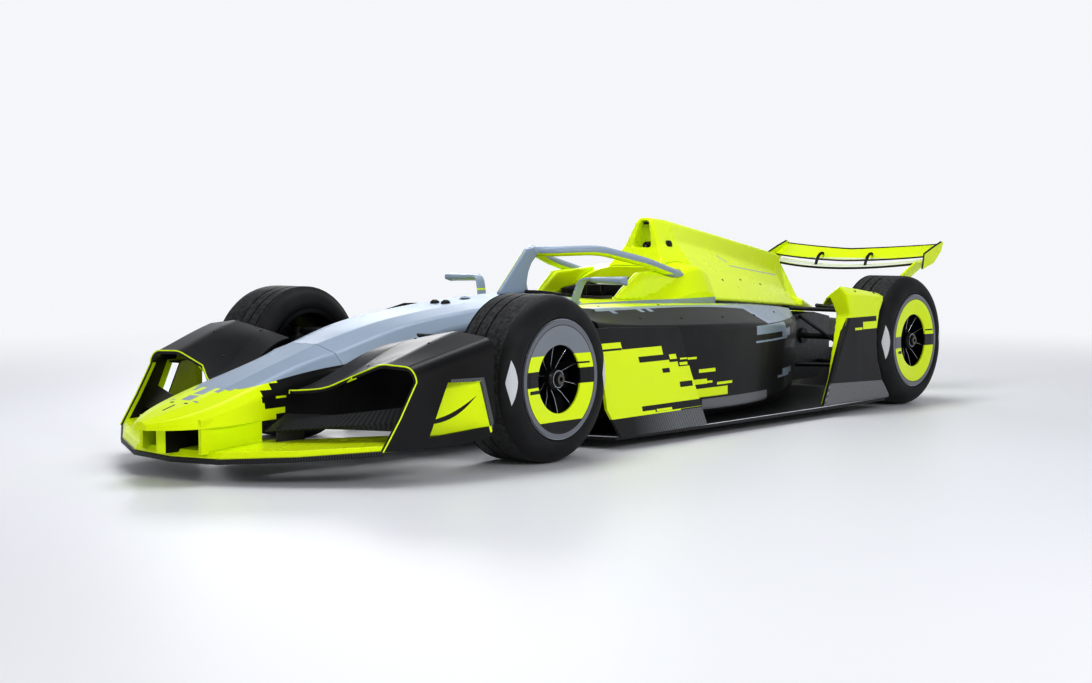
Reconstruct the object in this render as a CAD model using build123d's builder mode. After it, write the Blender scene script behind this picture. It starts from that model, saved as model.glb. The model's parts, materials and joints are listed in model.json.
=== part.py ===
"""Open wheel racing car: hollow survival cell, wings, wheel fairings, halo, suspension and wheels."""
from build123d import *
from math import cos, radians, sin
import os

os.makedirs("parts", exist_ok=True)

# Frame in millimetres: +X forward, +Y to the car's left, +Z up, origin on the ground at mid length.

# ---------------------------------------------------------------- driving dimensions
overall_length = 5540.0
overall_width = 1744.0
wheelbase = 3080.0
front_overhang = 1440.0
tyre_radius = 343.0
front_tyre_width = 308.0
rear_tyre_width = 308.0
rim_seat_radius = 230.0
ride_height = 40.0
floor_thickness = 16.0
steering_lock = 18.0
kingpin_y = 640.0

half_length = overall_length / 2
half_width = overall_width / 2
front_axle = half_length - front_overhang
rear_axle = front_axle - wheelbase
hub_z = tyre_radius
floor_top = ride_height + floor_thickness

# Clearances
running_gap = 0.05
tyre_seat_gap = 0.3
moving_gap = 6.0
seam_gap = 2.0


def export(piece, name):
    """Labels a finished sub-part and writes it as its own STEP file."""
    piece.part.label = name
    export_step(piece.part, f"parts/{name}.step")


def straight_outline(plane, corners):
    """A closed outline on a plane from (u, v) corners, as a sketch in the car's frame."""
    with BuildSketch(plane) as outline:
        with BuildLine():
            Polyline(*corners, close=True)
        make_face()
    return outline.sketch


def rounded_outline(plane, corners):
    """A closed outline on a plane from (u, v, corner radius) rows, each corner an arc."""
    with BuildSketch(plane) as outline:
        with BuildLine():
            FilletPolyline(*[(u, v) for u, v, r in corners], radius=[r for u, v, r in corners], close=True)
        make_face()
    return outline.sketch


def both_sides(left_half):
    """Corners of a whole outline, from the rows of its +Y half."""
    return left_half + [(-u, v, r) for u, v, r in reversed(left_half)]


def cross_section(x, half_corners):
    """A rounded section across the car at station x, mirrored about the middle."""
    return rounded_outline(Plane.YZ.offset(x), both_sides(half_corners))


def profile_prism(corners, y_from, y_to, mode=Mode.ADD):
    """A side view outline in X and Z, extruded across the car from one Y to another."""
    extrude(straight_outline(Plane.XZ.offset(-y_to), corners), amount=y_to - y_from, mode=mode)


def plan_prism(corners, z_from, z_to, mode=Mode.ADD):
    """A plan outline in X and Y, extruded up from one height to another."""
    extrude(straight_outline(Plane.XY.offset(z_from), corners), amount=z_to - z_from, mode=mode)


def round_bar(start, end, radius, mode=Mode.ADD):
    """A straight round bar, or a bore, between two points."""
    axis = Vector(*end) - Vector(*start)
    with BuildSketch(Plane(origin=start, z_dir=axis)) as bar_end:
        Circle(radius)
    extrude(bar_end.sketch, amount=axis.length, mode=mode)


# ---------------------------------------------------------------- survival cell
nose_joint = front_axle + 590
cockpit_front = front_axle - 850
cockpit_rear = rear_axle + 1370
cell_rear = rear_axle + 1130
keel_trim = 26.0
cell_floor = floor_top - keel_trim
rim_rise = 88.0

# Columns: station, crown height, shoulder y, shoulder z, waist y, waist z, keel y, keel z
cell_sections = [
    (nose_joint, 484, 176, 453, 232, 398, 196, 176),
    (front_axle + 290, 551, 196, 528, 254, 460, 206, 150),
    (front_axle, 594, 214, 576, 272, 515, 214, 122),
    (front_axle - 430, 633, 240, 614, 294, 556, 262, cell_floor),
    (cockpit_front, 644, 262, 620, 312, 560, 300, cell_floor),
    (cockpit_rear + 520, 640, 266, 606, 320, 550, 306, cell_floor),
    (cockpit_rear + 150, 700, 282, 676, 334, 585, 310, cell_floor),
    (cell_rear, 762, 292, 706, 340, 592, 310, cell_floor),
]
with BuildPart() as cell_hull:
    loft([
        cross_section(x, [(shoulder_y * 0.42, crown, 60), (shoulder_y, shoulder_z, 36),
                          (waist_y, waist_z, 40), (keel_y, keel_z, 34)])
        for x, crown, shoulder_y, shoulder_z, waist_y, waist_z, keel_y, keel_z in cell_sections
    ])
    plan_prism([
        (cell_rear - 10, -half_width), (nose_joint, -half_width), (nose_joint, half_width), (cell_rear - 10, half_width),
    ], 0, floor_top, Mode.SUBTRACT)

cavity_sections = [
    (cockpit_rear, 610, 240, 100),
    (cockpit_front, 540, 222, 100),
    (front_axle - 90, 500, 150, 200),
]
mouth_corners = [(cockpit_front, 120, 70), (cockpit_front - 150, 205, 90),
                 (cockpit_rear + 160, 236, 120), (cockpit_rear, 190, 60)]
rack_x = front_axle + 115
rack_z = hub_z + 22
rack_radius = 11.0
with BuildPart() as cell_cavity:
    loft([
        cross_section(x, [(half, top, 40), (half * 0.94, bottom, 40)])
        for x, top, half, bottom in cavity_sections
    ])
with BuildPart() as survival_cell:
    add(cell_hull.part)
    add(cell_cavity.part, mode=Mode.SUBTRACT)
    mouth = mouth_corners + [(x, -y, r) for x, y, r in reversed(mouth_corners)]
    extrude(rounded_outline(Plane.XY.offset(480), mouth), amount=400, mode=Mode.SUBTRACT)
    round_bar((rack_x, -kingpin_y, rack_z), (rack_x, kingpin_y, rack_z), rack_radius + moving_gap + 2, Mode.SUBTRACT)
export(survival_cell, "survival_cell")

# ---------------------------------------------------------------- front wing and nose
wing_plane_top = 130.0
# Columns: y, leading edge x, trailing edge x, underside z at the lip, thickness
wing_sections = [
    (0, half_length - 138, half_length - 470, 86, 44),
    (242, half_length - 166, half_length - 500, 90, 40),
    (500, half_length - 312, half_length - 770, 104, 36),
    (748, half_length - 515, half_length - 870, 126, 30),
]
with BuildPart() as front_wing:
    loft([
        rounded_outline(Plane.XZ.offset(-y), [
            (lead_x, lip_z, 8),
            (lead_x - 24, lip_z + thick * 0.8, 6),
            (lead_x - 140, lip_z + thick, 60),
            (trail_x, lip_z + thick + 8, 3),
            (trail_x + 4, lip_z + thick - 4, 3),
            (lead_x - 130, lip_z - 2, 60),
        ])
        for y, lead_x, trail_x, lip_z, thick in wing_sections
    ], ruled=True)
    mirror(about=Plane.XZ)
export(front_wing, "front_wing")

duct_front = half_length - 130
foot_front = half_length - 145
foot_rear = half_length - 425
# Columns: station, crown height, crease y, crease z, side y, side z, base y, base z, crease radius, side radius
nose_sections = [
    (half_length, 236, 30, 224, 36, 214, 34, 204, 10, 5),
    (duct_front, 275, 122, 258, 150, 232, 176, 206, 40, 16),
    (foot_rear + 5, 356, 152, 340, 186, 300, 204, 214, 52, 36),
    (nose_joint + seam_gap, 483, 176, 452, 231, 397, 195, 178, 40, 40),
]
with BuildPart() as nose_cone:
    loft([
        cross_section(x, [(crease_y * 0.42, crown, crease_y * 0.3), (crease_y, crease_z, crease_round),
                          (side_y, side_z, side_round), (base_y, base_z, 3)])
        for (x, crown, crease_y, crease_z, side_y, side_z, base_y, base_z, crease_round,
             side_round) in nose_sections
    ])
    for side in (1, -1):
        plan_prism([(foot_front, side * 160), (foot_front, side * 176),
                    (foot_rear, side * 204), (foot_rear, side * 184)], wing_plane_top - 20, 240)
    plan_prism([(half_length - 82, -5), (half_length - 100, -28), (foot_rear, -44),
                (foot_rear, 44), (half_length - 100, 28), (half_length - 82, 5)], wing_plane_top - 20, 230)
    plan_prism([(foot_rear, -190), (foot_rear + 16, -188), (foot_rear + 16, 188), (foot_rear, 190)],
               wing_plane_top - 20, 260)
    add(front_wing.part, mode=Mode.SUBTRACT)
export(nose_cone, "nose_cone")

flap_gap = 3.0
# Columns: y, lower x, lower z, upper x, upper z
flap_sections = [(212, -418, 172, -548, 236), (724, -620, 194, -690, 282)]
with BuildPart() as front_flaps:
    loft([
        rounded_outline(Plane.XZ.offset(-y), [
            (half_length + low_x, low_z, 2.5),
            (half_length + high_x, high_z, 2.5),
            (half_length + high_x - 8, high_z - 1, 2.5),
            (half_length + low_x - 34, low_z + 2, 6),
        ])
        for y, low_x, low_z, high_x, high_z in flap_sections
    ])
    plan_prism([(half_length - 455, 250), (half_length - 452, 256),
                (half_length - 560, 296), (half_length - 562, 290)], wing_plane_top - 20, wing_plane_top + 66)
    add(front_wing.part, mode=Mode.SUBTRACT)
    add(nose_cone.part, mode=Mode.SUBTRACT)
    mirror(about=Plane.XZ)
export(front_flaps, "front_flaps")

# ---------------------------------------------------------------- front wheel fairings
fairing_skin = 14.0
fairing_front = front_axle + 930
fairing_rear = front_axle + 372
# Columns: station, inner y, inner z, knee y, knee z, crest y, crest z, outer top y, outer top z, outer low y
fairing_sections = [
    (fairing_front, 212, 330, 345, 334, 575, 400, 744, 384, 756),
    (front_axle + 745, 222, 350, 350, 356, 585, 438, 762, 432, 800),
    (front_axle + 560, 266, 436, 390, 450, 620, 496, 806, 480, 842),
    (fairing_rear, 300, 486, 420, 512, 640, 552, 842, 528, 872),
]


def fairing_shape(inset):
    """The outer form of a front fairing, or its hollow when set in by the skin thickness."""
    loft([
        rounded_outline(Plane.YZ.offset(x), [
            (inner_y - 4 * inset, inner_z - inset, 3),
            (knee_y, knee_z - inset, 150),
            (crest_y, crest_z - inset, 150),
            (top_y - inset, top_z - inset, 62 - inset),
            (low_y - inset, ride_height + 30, 3),
            (inner_y - 4 * inset, ride_height + 30, 3),
        ])
        for x, inner_y, inner_z, knee_y, knee_z, crest_y, crest_z, top_y, top_z, low_y in fairing_sections
    ])


# Side window of the outer wall, corners in X and Z
window_corners = [
    (front_axle + 614, 369), (front_axle + 460, 365), (front_axle + 424, 191), (front_axle + 716, 167),
]
# Vane behind the window, well inside the wall at its front and flush at its rear
# Columns: height, front x, front y, rear x, rear y
vane_sections = [
    (156, front_axle + 749, 711, front_axle + 414, 854),
    (380, front_axle + 641, 707, front_axle + 444, 838),
]
vane_thickness = 8.0
with BuildPart() as fairing_trim:
    profile_prism([
        (front_axle + 925, 128), (front_axle + 838, 245), (front_axle + 752, 376), (front_axle + 745, 640),
        (fairing_rear + 4, 640), (front_axle + 388, 470), (front_axle + 402, 343), (front_axle + 398, 250),
        (front_axle + 428, 148), (front_axle + 600, 128),
    ], 0, half_width)
    plan_prism([
        (front_axle + 700, 0), (front_axle + 874, 0), (front_axle + 874, 230), (front_axle + 754, 430),
        (front_axle + 700, 430),
    ], 300, 420)
with BuildPart() as fairing_hollow:
    fairing_shape(fairing_skin)
with BuildPart() as front_fairing_left:
    fairing_shape(0)
    add(fairing_hollow.part, mode=Mode.SUBTRACT)
    profile_prism(window_corners, 600, half_width + 10, Mode.SUBTRACT)
    loft([
        straight_outline(Plane.XY.offset(z), [
            (front_x, front_y), (rear_x, rear_y),
            (rear_x, rear_y - vane_thickness), (front_x, front_y - vane_thickness),
        ])
        for z, front_x, front_y, rear_x, rear_y in vane_sections
    ], ruled=True)
    for (z, front_x, front_y, rear_x, rear_y), wall_y in zip(vane_sections, (788, 784)):
        plan_prism([(front_x - 6, front_y - 4), (rear_x + 4, rear_y - 4), (front_x - 6, wall_y)],
                   min(z + 4, 372), min(z + 4, 372) + 6)
    add(fairing_trim.part, mode=Mode.INTERSECT)
    add(front_wing.part, mode=Mode.SUBTRACT)
    add(front_flaps.part, mode=Mode.SUBTRACT)
export(front_fairing_left, "front_fairing_left")
with BuildPart() as front_fairing_right:
    mirror(front_fairing_left.part, about=Plane.XZ)
export(front_fairing_right, "front_fairing_right")

# ---------------------------------------------------------------- engine cover, roll hoop and tail
hoop_rear = cell_rear
hoop_front = cockpit_rear - seam_gap
# Columns: station, top z, top half, mid z, mid half, base z, base half
hoop_sections = [
    (hoop_front + 8, 1006, 40, 858, 108, 690, 196),
    (hoop_rear, 986, 40, 878, 84, 690, 236),
]
with BuildPart() as roll_hoop:
    loft([
        cross_section(x, [(top_half, top_z, 30), (mid_half, mid_z, 60), (base_half, base_z, 10)])
        for x, top_z, top_half, mid_z, mid_half, base_z, base_half in hoop_sections
    ])
    profile_prism([
        (hoop_front + 60, 600), (hoop_front + 60, 1040), (hoop_front - 120, 1040), (hoop_front - 104, 1000),
        (hoop_front - 92, 972), (hoop_front - 70, 850), (hoop_front - 40, 790), (hoop_front, 744),
    ], -half_width / 2, half_width / 2, Mode.SUBTRACT)
    extrude(rounded_outline(Plane.YZ.offset(hoop_front - 140), [
        (-25, 980, 14), (25, 980, 14), (58, 846, 14), (-58, 846, 14),
    ]), amount=120, mode=Mode.SUBTRACT)
    add(cell_hull.part, mode=Mode.SUBTRACT)
export(roll_hoop, "roll_hoop")

cover_rear = rear_axle - 230
# Columns: station, top z, top half, mid z, mid half, shoulder z, shoulder half, base z, base half
cover_sections = [
    (cell_rear - seam_gap, 985, 40, 878, 84, 740, 200, 580, 336),
    (rear_axle + 528, 888, 13, 790, 30, 680, 120, 540, 262),
    (rear_axle + 6, 798, 9, 690, 14, 590, 70, 500, 196),
]
# Columns: station, top z, half, base z
tail_sections = [(rear_axle + 6.5, 588, 186, 500), (cover_rear, 512, 120, 470)]
with BuildPart() as engine_cover:
    loft([
        cross_section(x, [(top_half, top_z, top_half * 0.7), (mid_half, mid_z, 30),
                          (hip_half, hip_z, 50), (base_half, base_z, 8)])
        for x, top_z, top_half, mid_z, mid_half, hip_z, hip_half, base_z, base_half in cover_sections
    ])
    loft([
        cross_section(x, [(half * 0.35, top_z, 30), (half, (top_z + base_z) / 2, 12), (half, base_z, 6)])
        for x, top_z, half, base_z in tail_sections
    ])
    profile_prism([
        (rear_axle + 20, 799), (rear_axle - 32, 787), (rear_axle - 63, 702), (rear_axle - 120, 560),
        (rear_axle + 20, 560),
    ], -8, 8)
export(engine_cover, "engine_cover")

# ---------------------------------------------------------------- sidepods
pod_front = front_axle - 520
# Columns: station, inner top z, top y, top z, shoulder y, shoulder z, low y, low z, foot y
pod_sections = [
    (pod_front, 606, 470, 596, 672, 540, 672, 128, 590),
    (front_axle - 1118, 596, 500, 583, 700, 500, 704, 118, 620),
    (rear_axle + 1270, 578, 490, 566, 686, 480, 694, 107, 600),
    (rear_axle + 863, 560, 440, 548, 596, 462, 598, 140, 510),
    (rear_axle + 350, 520, 300, 512, 346, 450, 336, 150, 300),
]
pod_inner_y = 196.0
with BuildPart() as sidepod_left:
    loft([
        rounded_outline(Plane.YZ.offset(x), [
            (pod_inner_y, in_z, 2), (top_y, top_z, 12), (shoulder_y, shoulder_z, 30),
            (low_y, low_z, 20), (foot_y, floor_top, 4), (pod_inner_y, floor_top, 2),
        ])
        for x, in_z, top_y, top_z, shoulder_y, shoulder_z, low_y, low_z, foot_y in pod_sections
    ])
    add(cell_hull.part, mode=Mode.SUBTRACT)
    plan_prism([
        (cell_rear + 12, 0), (pod_front + 10, 0), (pod_front + 10, 296), (cell_rear + 12, 296),
    ], 0, floor_top + 30, Mode.SUBTRACT)
    add(engine_cover.part, mode=Mode.SUBTRACT)
    with BuildSketch(Plane.YZ.offset(pod_front)):
        with Locations((495, 400)):
            RectangleRounded(250, 220, 60)
    extrude(amount=-220, taper=6, mode=Mode.SUBTRACT)
export(sidepod_left, "sidepod_left")
with BuildPart() as sidepod_right:
    mirror(sidepod_left.part, about=Plane.XZ)
export(sidepod_right, "sidepod_right")

panel_thickness = 14.0
panel_front = front_axle - 430
panel_rear = front_axle - 1170
with BuildPart() as side_panels:
    extrude(straight_outline(Plane.YZ.offset(panel_rear - 10), [
        (704, 520), (766, 304), (816, floor_top), (816 - panel_thickness, floor_top),
        (766 - panel_thickness, 302), (704 - panel_thickness, 520),
    ]), amount=panel_front - panel_rear + 80)
    profile_prism([
        (panel_rear, 0), (panel_rear + 78, 304), (panel_rear + 90, 500), (panel_front - 20, 524),
        (panel_front, 343), (panel_front + 10, 180), (panel_front - 60, floor_top - 1), (panel_front - 70, 0),
    ], 0, half_width, Mode.INTERSECT)
    add(sidepod_left.part, mode=Mode.SUBTRACT)
    mirror(about=Plane.XZ)
export(side_panels, "side_panels")

# ---------------------------------------------------------------- floor and diffuser
rear_inner_face = half_width - rear_tyre_width
floor_corners = [
    (front_axle - 300, 0), (front_axle - 360, 260), (front_axle - 470, 640), (front_axle - 506, 775),
    (panel_rear, 816), (rear_axle + 908, 840), (rear_axle + 270, 840), (rear_axle + 262, rear_inner_face - 8),
    (rear_axle - 140, rear_inner_face - 20), (rear_axle - 140, 0),
]
with BuildPart() as floor:
    plan_prism(floor_corners, ride_height, floor_top)
    mirror(about=Plane.XZ)
export(floor, "floor")

diffuser_front = rear_axle - 140 - seam_gap
diffuser_rear = rear_axle - 640
diffuser_half = 470.0
with BuildPart() as diffuser:
    profile_prism([
        (diffuser_front, ride_height), (diffuser_front, floor_top), (diffuser_rear, 236), (diffuser_rear, 224),
    ], -diffuser_half, diffuser_half)
    for strake_y in (-diffuser_half + 5, -240, -80, 80, 240, diffuser_half - 5):
        profile_prism([
            (diffuser_front - 30, ride_height + 2), (diffuser_front - 30, ride_height + 18),
            (diffuser_rear + 6, 230), (diffuser_rear + 6, 120), (diffuser_rear + 120, 84),
        ], strake_y - 5, strake_y + 5)
export(diffuser, "diffuser")

# ---------------------------------------------------------------- rear wheel fairings
rear_fairing_front = rear_axle + 905
rear_fairing_rear = rear_axle + 262
# Columns: station, inner y, inner z, crest y, crest z, outer top y, outer top z, outer low y
rear_fairing_sections = [
    (rear_fairing_front, 800, 640, 806, 650, 826, 612, 838),
    (rear_axle + 670, 716, 600, 792, 650, 832, 606, 846),
    (rear_axle + 580, 640, 556, 782, 644, 836, 602, 850),
    (rear_fairing_rear, 600, 548, 796, 602, 840, 584, 864),
]
# Columns: height, outer x, outer y, inner x, inner y
lead_edge_sections = [
    (floor_top, rear_axle + 895, 838, rear_axle + 850, 786),
    (187, rear_axle + 825, 837, rear_axle + 785, 790),
    (504, rear_axle + 638, 832, rear_axle + 626, 745),
]
with BuildPart() as rear_fairings:
    loft([
        straight_outline(Plane.YZ.offset(x), [
            (inner_y, inner_z), (crest_y, crest_z), (top_y, top_z),
            (low_y, floor_top), (low_y - fairing_skin, floor_top), (top_y - fairing_skin, top_z - fairing_skin),
            (crest_y - 4, crest_z - fairing_skin), (inner_y, inner_z - fairing_skin),
        ])
        for x, inner_y, inner_z, crest_y, crest_z, top_y, top_z, low_y in rear_fairing_sections
    ], ruled=True)
    profile_prism([
        (rear_axle + 895, floor_top), (rear_axle + 825, 187), (rear_axle + 638, 504), (rear_axle + 662, 600),
        (rear_axle + 690, 680), (rear_fairing_rear, 680), (rear_axle + 284, 592), (rear_axle + 340, 508),
        (rear_axle + 370, 412), (rear_axle + 378, 343), (rear_axle + 366, 250), (rear_axle + 326, 150),
        (rear_axle + 246, floor_top),
    ], 0, half_width, Mode.INTERSECT)
    loft([
        straight_outline(Plane.XY.offset(z), [
            (outer_x, outer_y), (inner_x, inner_y), (inner_x - 14, inner_y), (outer_x - 14, outer_y),
        ])
        for z, outer_x, outer_y, inner_x, inner_y in lead_edge_sections
    ], ruled=True)
    mirror(about=Plane.XZ)
export(rear_fairings, "rear_fairings")

# ---------------------------------------------------------------- rear wing
wing_rear = -half_length
# Columns: y, leading x, leading z, trailing x, trailing z, thickness
lower_plane_sections = [(0, 322, 700, 232, 716, 14), (210, 306, 706, 206, 724, 14), (468, 234, 730, 148, 752, 12)]
upper_flap_sections = [(0, 222, 742, 152, 812, 10), (260, 196, 752, 90, 824, 10), (520, 146, 774, 2, 842, 8)]
wing_tip = 520.0
with BuildPart() as rear_wing_plane:
    loft([
        rounded_outline(Plane.XZ.offset(-y), [
            (wing_rear + lead_x, lead_z, 3), (wing_rear + lead_x - 20, lead_z + thick, 5),
            (wing_rear + trail_x, trail_z + 3, 0.8), (wing_rear + trail_x, trail_z, 0.8),
        ])
        for y, lead_x, lead_z, trail_x, trail_z, thick in lower_plane_sections
    ])
    mirror(about=Plane.XZ)
export(rear_wing_plane, "rear_wing_plane")
with BuildPart() as rear_wing_flap:
    loft([
        rounded_outline(Plane.XZ.offset(-y), [
            (wing_rear + lead_x, lead_z, 2.5), (wing_rear + lead_x - 4, lead_z + thick + 3, 2.5),
            (wing_rear + trail_x, trail_z + 3, 0.8), (wing_rear + trail_x, trail_z, 0.8),
        ])
        for y, lead_x, lead_z, trail_x, trail_z, thick in upper_flap_sections
    ])
    mirror(about=Plane.XZ)
export(rear_wing_flap, "rear_wing_flap")
with BuildPart() as rear_wing_supports:
    profile_prism([
        (wing_rear + 262, 700), (wing_rear + 240, 790), (wing_rear + 20, 858), (wing_rear, 852),
        (wing_rear + 30, 800), (wing_rear + 120, 735),
    ], wing_tip, wing_tip + 8)
    pylon_slope = (0, -0.62, -0.78)
    loft([
        rounded_outline(Plane(origin=(wing_rear + x, y, z), x_dir=(1, 0, 0), z_dir=pylon_slope), [
            (-long, -8, 6), (long, -8, 6), (long, 8, 6), (-long, 8, 6),
        ])
        for x, y, z, long in [(230, 500, 742, 66), (420, 150, 358, 55)]
    ])
    add(rear_wing_plane.part, mode=Mode.SUBTRACT)
    add(rear_wing_flap.part, mode=Mode.SUBTRACT)
    mirror(about=Plane.XZ)
export(rear_wing_supports, "rear_wing_supports")

# ---------------------------------------------------------------- tail structure and drive
drive_half = 180.0
with BuildPart() as drive_unit:
    profile_prism([
        (cell_rear - 560, 100), (cell_rear - 560, 440), (rear_axle - 120, 470), (rear_axle - 300, 440),
        (rear_axle - 300, 220), (rear_axle - 180, 100),
    ], -drive_half, drive_half)
export(drive_unit, "drive_unit")

with BuildPart() as battery_block:
    profile_prism([
        (cell_rear - 4, floor_top + 2), (cell_rear - 4, 560), (cell_rear - 556, 480), (cell_rear - 556, floor_top + 2),
    ], -pod_inner_y + 6, pod_inner_y - 6)
    add(engine_cover.part, mode=Mode.SUBTRACT)
export(battery_block, "battery_block")

tail_front = rear_axle - 302
tail_rear = -half_length + 300
with BuildPart() as tail_cone:
    loft([
        rounded_outline(Plane.YZ.offset(x), [
            (half, top_z, corner), (half, base_z, corner), (-half, base_z, corner), (-half, top_z, corner),
        ])
        for x, half, top_z, base_z, corner in [(tail_front, 120, 436, 262, 24), (tail_rear, 62, 400, 310, 16)]
    ])
    add(rear_wing_supports.part, mode=Mode.SUBTRACT)
export(tail_cone, "tail_cone")

with BuildPart() as rain_light:
    with BuildSketch(Plane.YZ.offset(tail_rear - 32)):
        with Locations((0, 355)):
            RectangleRounded(104, 62, 10)
    extrude(amount=31)
export(rain_light, "rain_light")

# ---------------------------------------------------------------- halo, headrest, seat and mirrors
halo_radius = 24.0
halo_end = cockpit_rear - 10
# Columns: x, y, z of the left arm's corners, from the rear foot to the front apex
halo_arm = [(halo_end, 284, 706), (cockpit_front - 560, 292, 782), (cockpit_front - 290, 206, 844)]
halo_apex = (cockpit_front - 26, 0, 834)
halo_bends = [420, 300]
apex_bend = 120
with BuildPart() as halo:
    with BuildLine() as hoop_line:
        FilletPolyline(*halo_arm, halo_apex, *[(x, -y, z) for x, y, z in reversed(halo_arm)],
                       radius=[*halo_bends, apex_bend, *reversed(halo_bends)])
    with BuildSketch(Plane(origin=hoop_line.line @ 0, z_dir=hoop_line.line % 0)) as hoop_tube:
        Circle(halo_radius)
    sweep(hoop_tube.sketch, path=hoop_line.line)
    profile_prism([
        (cockpit_front + 203, 600), (cockpit_front + 203, 656), (cockpit_front + 6, 850),
        (cockpit_front - 60, 858), (cockpit_front - 74, 820), (cockpit_front - 30, 780), (cockpit_front - 8, 740),
        (cockpit_front + 4, 690), (cockpit_front - 10, 650), (cockpit_front - 10, 600),
    ], -11, 11)
    for side in (1, -1):
        plan_prism([(halo_end - 30, side * 262), (halo_end + 40, side * 262),
                    (halo_end + 40, side * 300), (halo_end - 30, side * 300)], 640, 714)
    add(cell_hull.part, mode=Mode.SUBTRACT)
export(halo, "halo")

# Columns: station, inner y, outer y, top z, shoulder z, base z
collar_sections = [
    (cockpit_rear + 515, 222, 262, 596, 586, 576),
    (cockpit_rear + 420, 228, 276, 668, 646, 588),
    (cockpit_rear + 320, 233, 290, 734, 700, 602),
    (cockpit_rear - 4, 244, 306, 752, 704, 640),
]
with BuildPart() as cockpit_collar:
    loft([
        rounded_outline(Plane.YZ.offset(x), [
            (inner_y, top_z - 4, 4), (outer_y - 18, top_z, 8), (outer_y, shoulder_z, 4),
            (outer_y, base_z, 2), (inner_y, base_z, 2),
        ])
        for x, inner_y, outer_y, top_z, shoulder_z, base_z in collar_sections
    ], ruled=True)
    mirror(about=Plane.XZ)
    add(survival_cell.part, mode=Mode.SUBTRACT)
    add(halo.part, mode=Mode.SUBTRACT)
export(cockpit_collar, "cockpit_collar")

headrest_top = 722.0
with BuildPart() as headrest:
    plan_prism([
        (cockpit_rear + 2, -186), (cockpit_rear + 2, 186), (cockpit_rear + 190, 216), (cockpit_rear + 340, 206),
        (cockpit_rear + 340, 164), (cockpit_rear + 190, 160), (cockpit_rear + 84, 120),
        (cockpit_rear + 84, -120), (cockpit_rear + 190, -160), (cockpit_rear + 340, -164),
        (cockpit_rear + 340, -206), (cockpit_rear + 190, -216),
    ], 600, headrest_top)
    profile_prism([
        (cockpit_rear, 700), (cockpit_rear, 760), (cockpit_rear + 360, 760), (cockpit_rear + 360, 650),
    ], -300, 300, Mode.SUBTRACT)
    add(survival_cell.part, mode=Mode.SUBTRACT)
export(headrest, "headrest")

seat_half = 190.0
with BuildPart() as driver_seat:
    profile_prism([
        (cockpit_rear + 50, 590), (cockpit_rear + 30, 560), (cockpit_rear + 190, 150), (cockpit_rear + 270, 108),
        (cockpit_rear + 620, 150), (cockpit_rear + 680, 210), (cockpit_rear + 668, 226),
        (cockpit_rear + 600, 176), (cockpit_rear + 280, 136), (cockpit_rear + 218, 166),
    ], -seat_half, seat_half)
    for side_y in (-seat_half, seat_half - 16):
        profile_prism([
            (cockpit_rear + 30, 560), (cockpit_rear + 190, 150), (cockpit_rear + 270, 108),
            (cockpit_rear + 620, 150), (cockpit_rear + 600, 250), (cockpit_rear + 320, 330),
            (cockpit_rear + 180, 540), (cockpit_rear + 50, 590),
        ], side_y, side_y + 16)
export(driver_seat, "driver_seat")

column_tilt = 16.0
column_top = (cockpit_front - 120, 0, 556)
column_dir = Vector(cos(radians(column_tilt)), 0, -sin(radians(column_tilt)))
column_length = 420.0
shaft_radius = 12.0
wheel_depth = 36.0
with BuildPart() as steering_column:
    with BuildSketch(Plane(origin=column_top, z_dir=column_dir).offset(wheel_depth / 2 + 10)) as tube_end:
        Circle(26)
    extrude(tube_end.sketch, amount=column_length)
    with BuildSketch(Plane(origin=column_top, z_dir=column_dir).offset(wheel_depth / 2 + 10)) as bore:
        Circle(shaft_radius + running_gap)
    extrude(bore.sketch, amount=120, mode=Mode.SUBTRACT)
    column_end = Vector(*column_top) + column_dir * (wheel_depth / 2 + column_length)
    plan_prism([
        (column_end.X - 40, -20), (column_end.X, -20), (column_end.X, 20), (column_end.X - 40, 20),
    ], column_end.Z, 700)
    add(cell_hull.part, mode=Mode.INTERSECT)
    add(survival_cell.part, mode=Mode.SUBTRACT)
export(steering_column, "steering_column")

with BuildPart() as steering_wheel:
    wheel_plane = Plane(origin=column_top, x_dir=(0, 1, 0), z_dir=column_dir).offset(-wheel_depth / 2)
    with BuildSketch(wheel_plane) as wheel_face:
        RectangleRounded(250, 170, 40)
        for side in (1, -1):
            with Locations((side * 96, 0)):
                SlotOverall(76, 34, rotation=90, mode=Mode.SUBTRACT)
    extrude(wheel_face.sketch, amount=wheel_depth)
    with BuildSketch(wheel_plane.offset(wheel_depth)) as shaft_end:
        Circle(shaft_radius)
    extrude(shaft_end.sketch, amount=100)
export(steering_wheel, "steering_wheel")

with BuildPart() as mirrors:
    mirror_z = 710.0
    profile_prism([
        (cockpit_front - 76, mirror_z - 24), (cockpit_front - 30, mirror_z - 20),
        (cockpit_front - 26, mirror_z + 14), (cockpit_front - 72, mirror_z + 20),
    ], 330, 536)
    loft([
        rounded_outline(Plane.XY.offset(z), [
            (x - 24, y - 5, 4), (x + 24, y - 5, 4), (x + 24, y + 5, 4), (x - 24, y + 5, 4),
        ])
        for x, y, z in [(cockpit_front - 6, 276, 592), (cockpit_front - 30, 318, mirror_z)]
    ])
    profile_prism([
        (cockpit_front - 60, mirror_z - 8), (cockpit_front - 8, mirror_z - 8),
        (cockpit_front - 8, mirror_z + 8), (cockpit_front - 60, mirror_z + 8),
    ], 310, 340)
    add(cell_hull.part, mode=Mode.SUBTRACT)
    add(sidepod_left.part, mode=Mode.SUBTRACT)
    mirror(about=Plane.XZ)
export(mirrors, "mirrors")

# ---------------------------------------------------------------- suspension
ball_rise = 146.0
ball_radius = 12.0
eye_height = 22.0
arm_radius = 11.0
pickup_y = 262.0
driveshaft_radius = 16.0
upright_inner = kingpin_y - 17
upright_outer = kingpin_y + 17


def upright_pin(x, y, z_from, z_to, radius, mode=Mode.ADD):
    """A vertical round pin or bore."""
    round_bar((x, y, z_from), (x, y, z_to), radius, mode)


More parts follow.
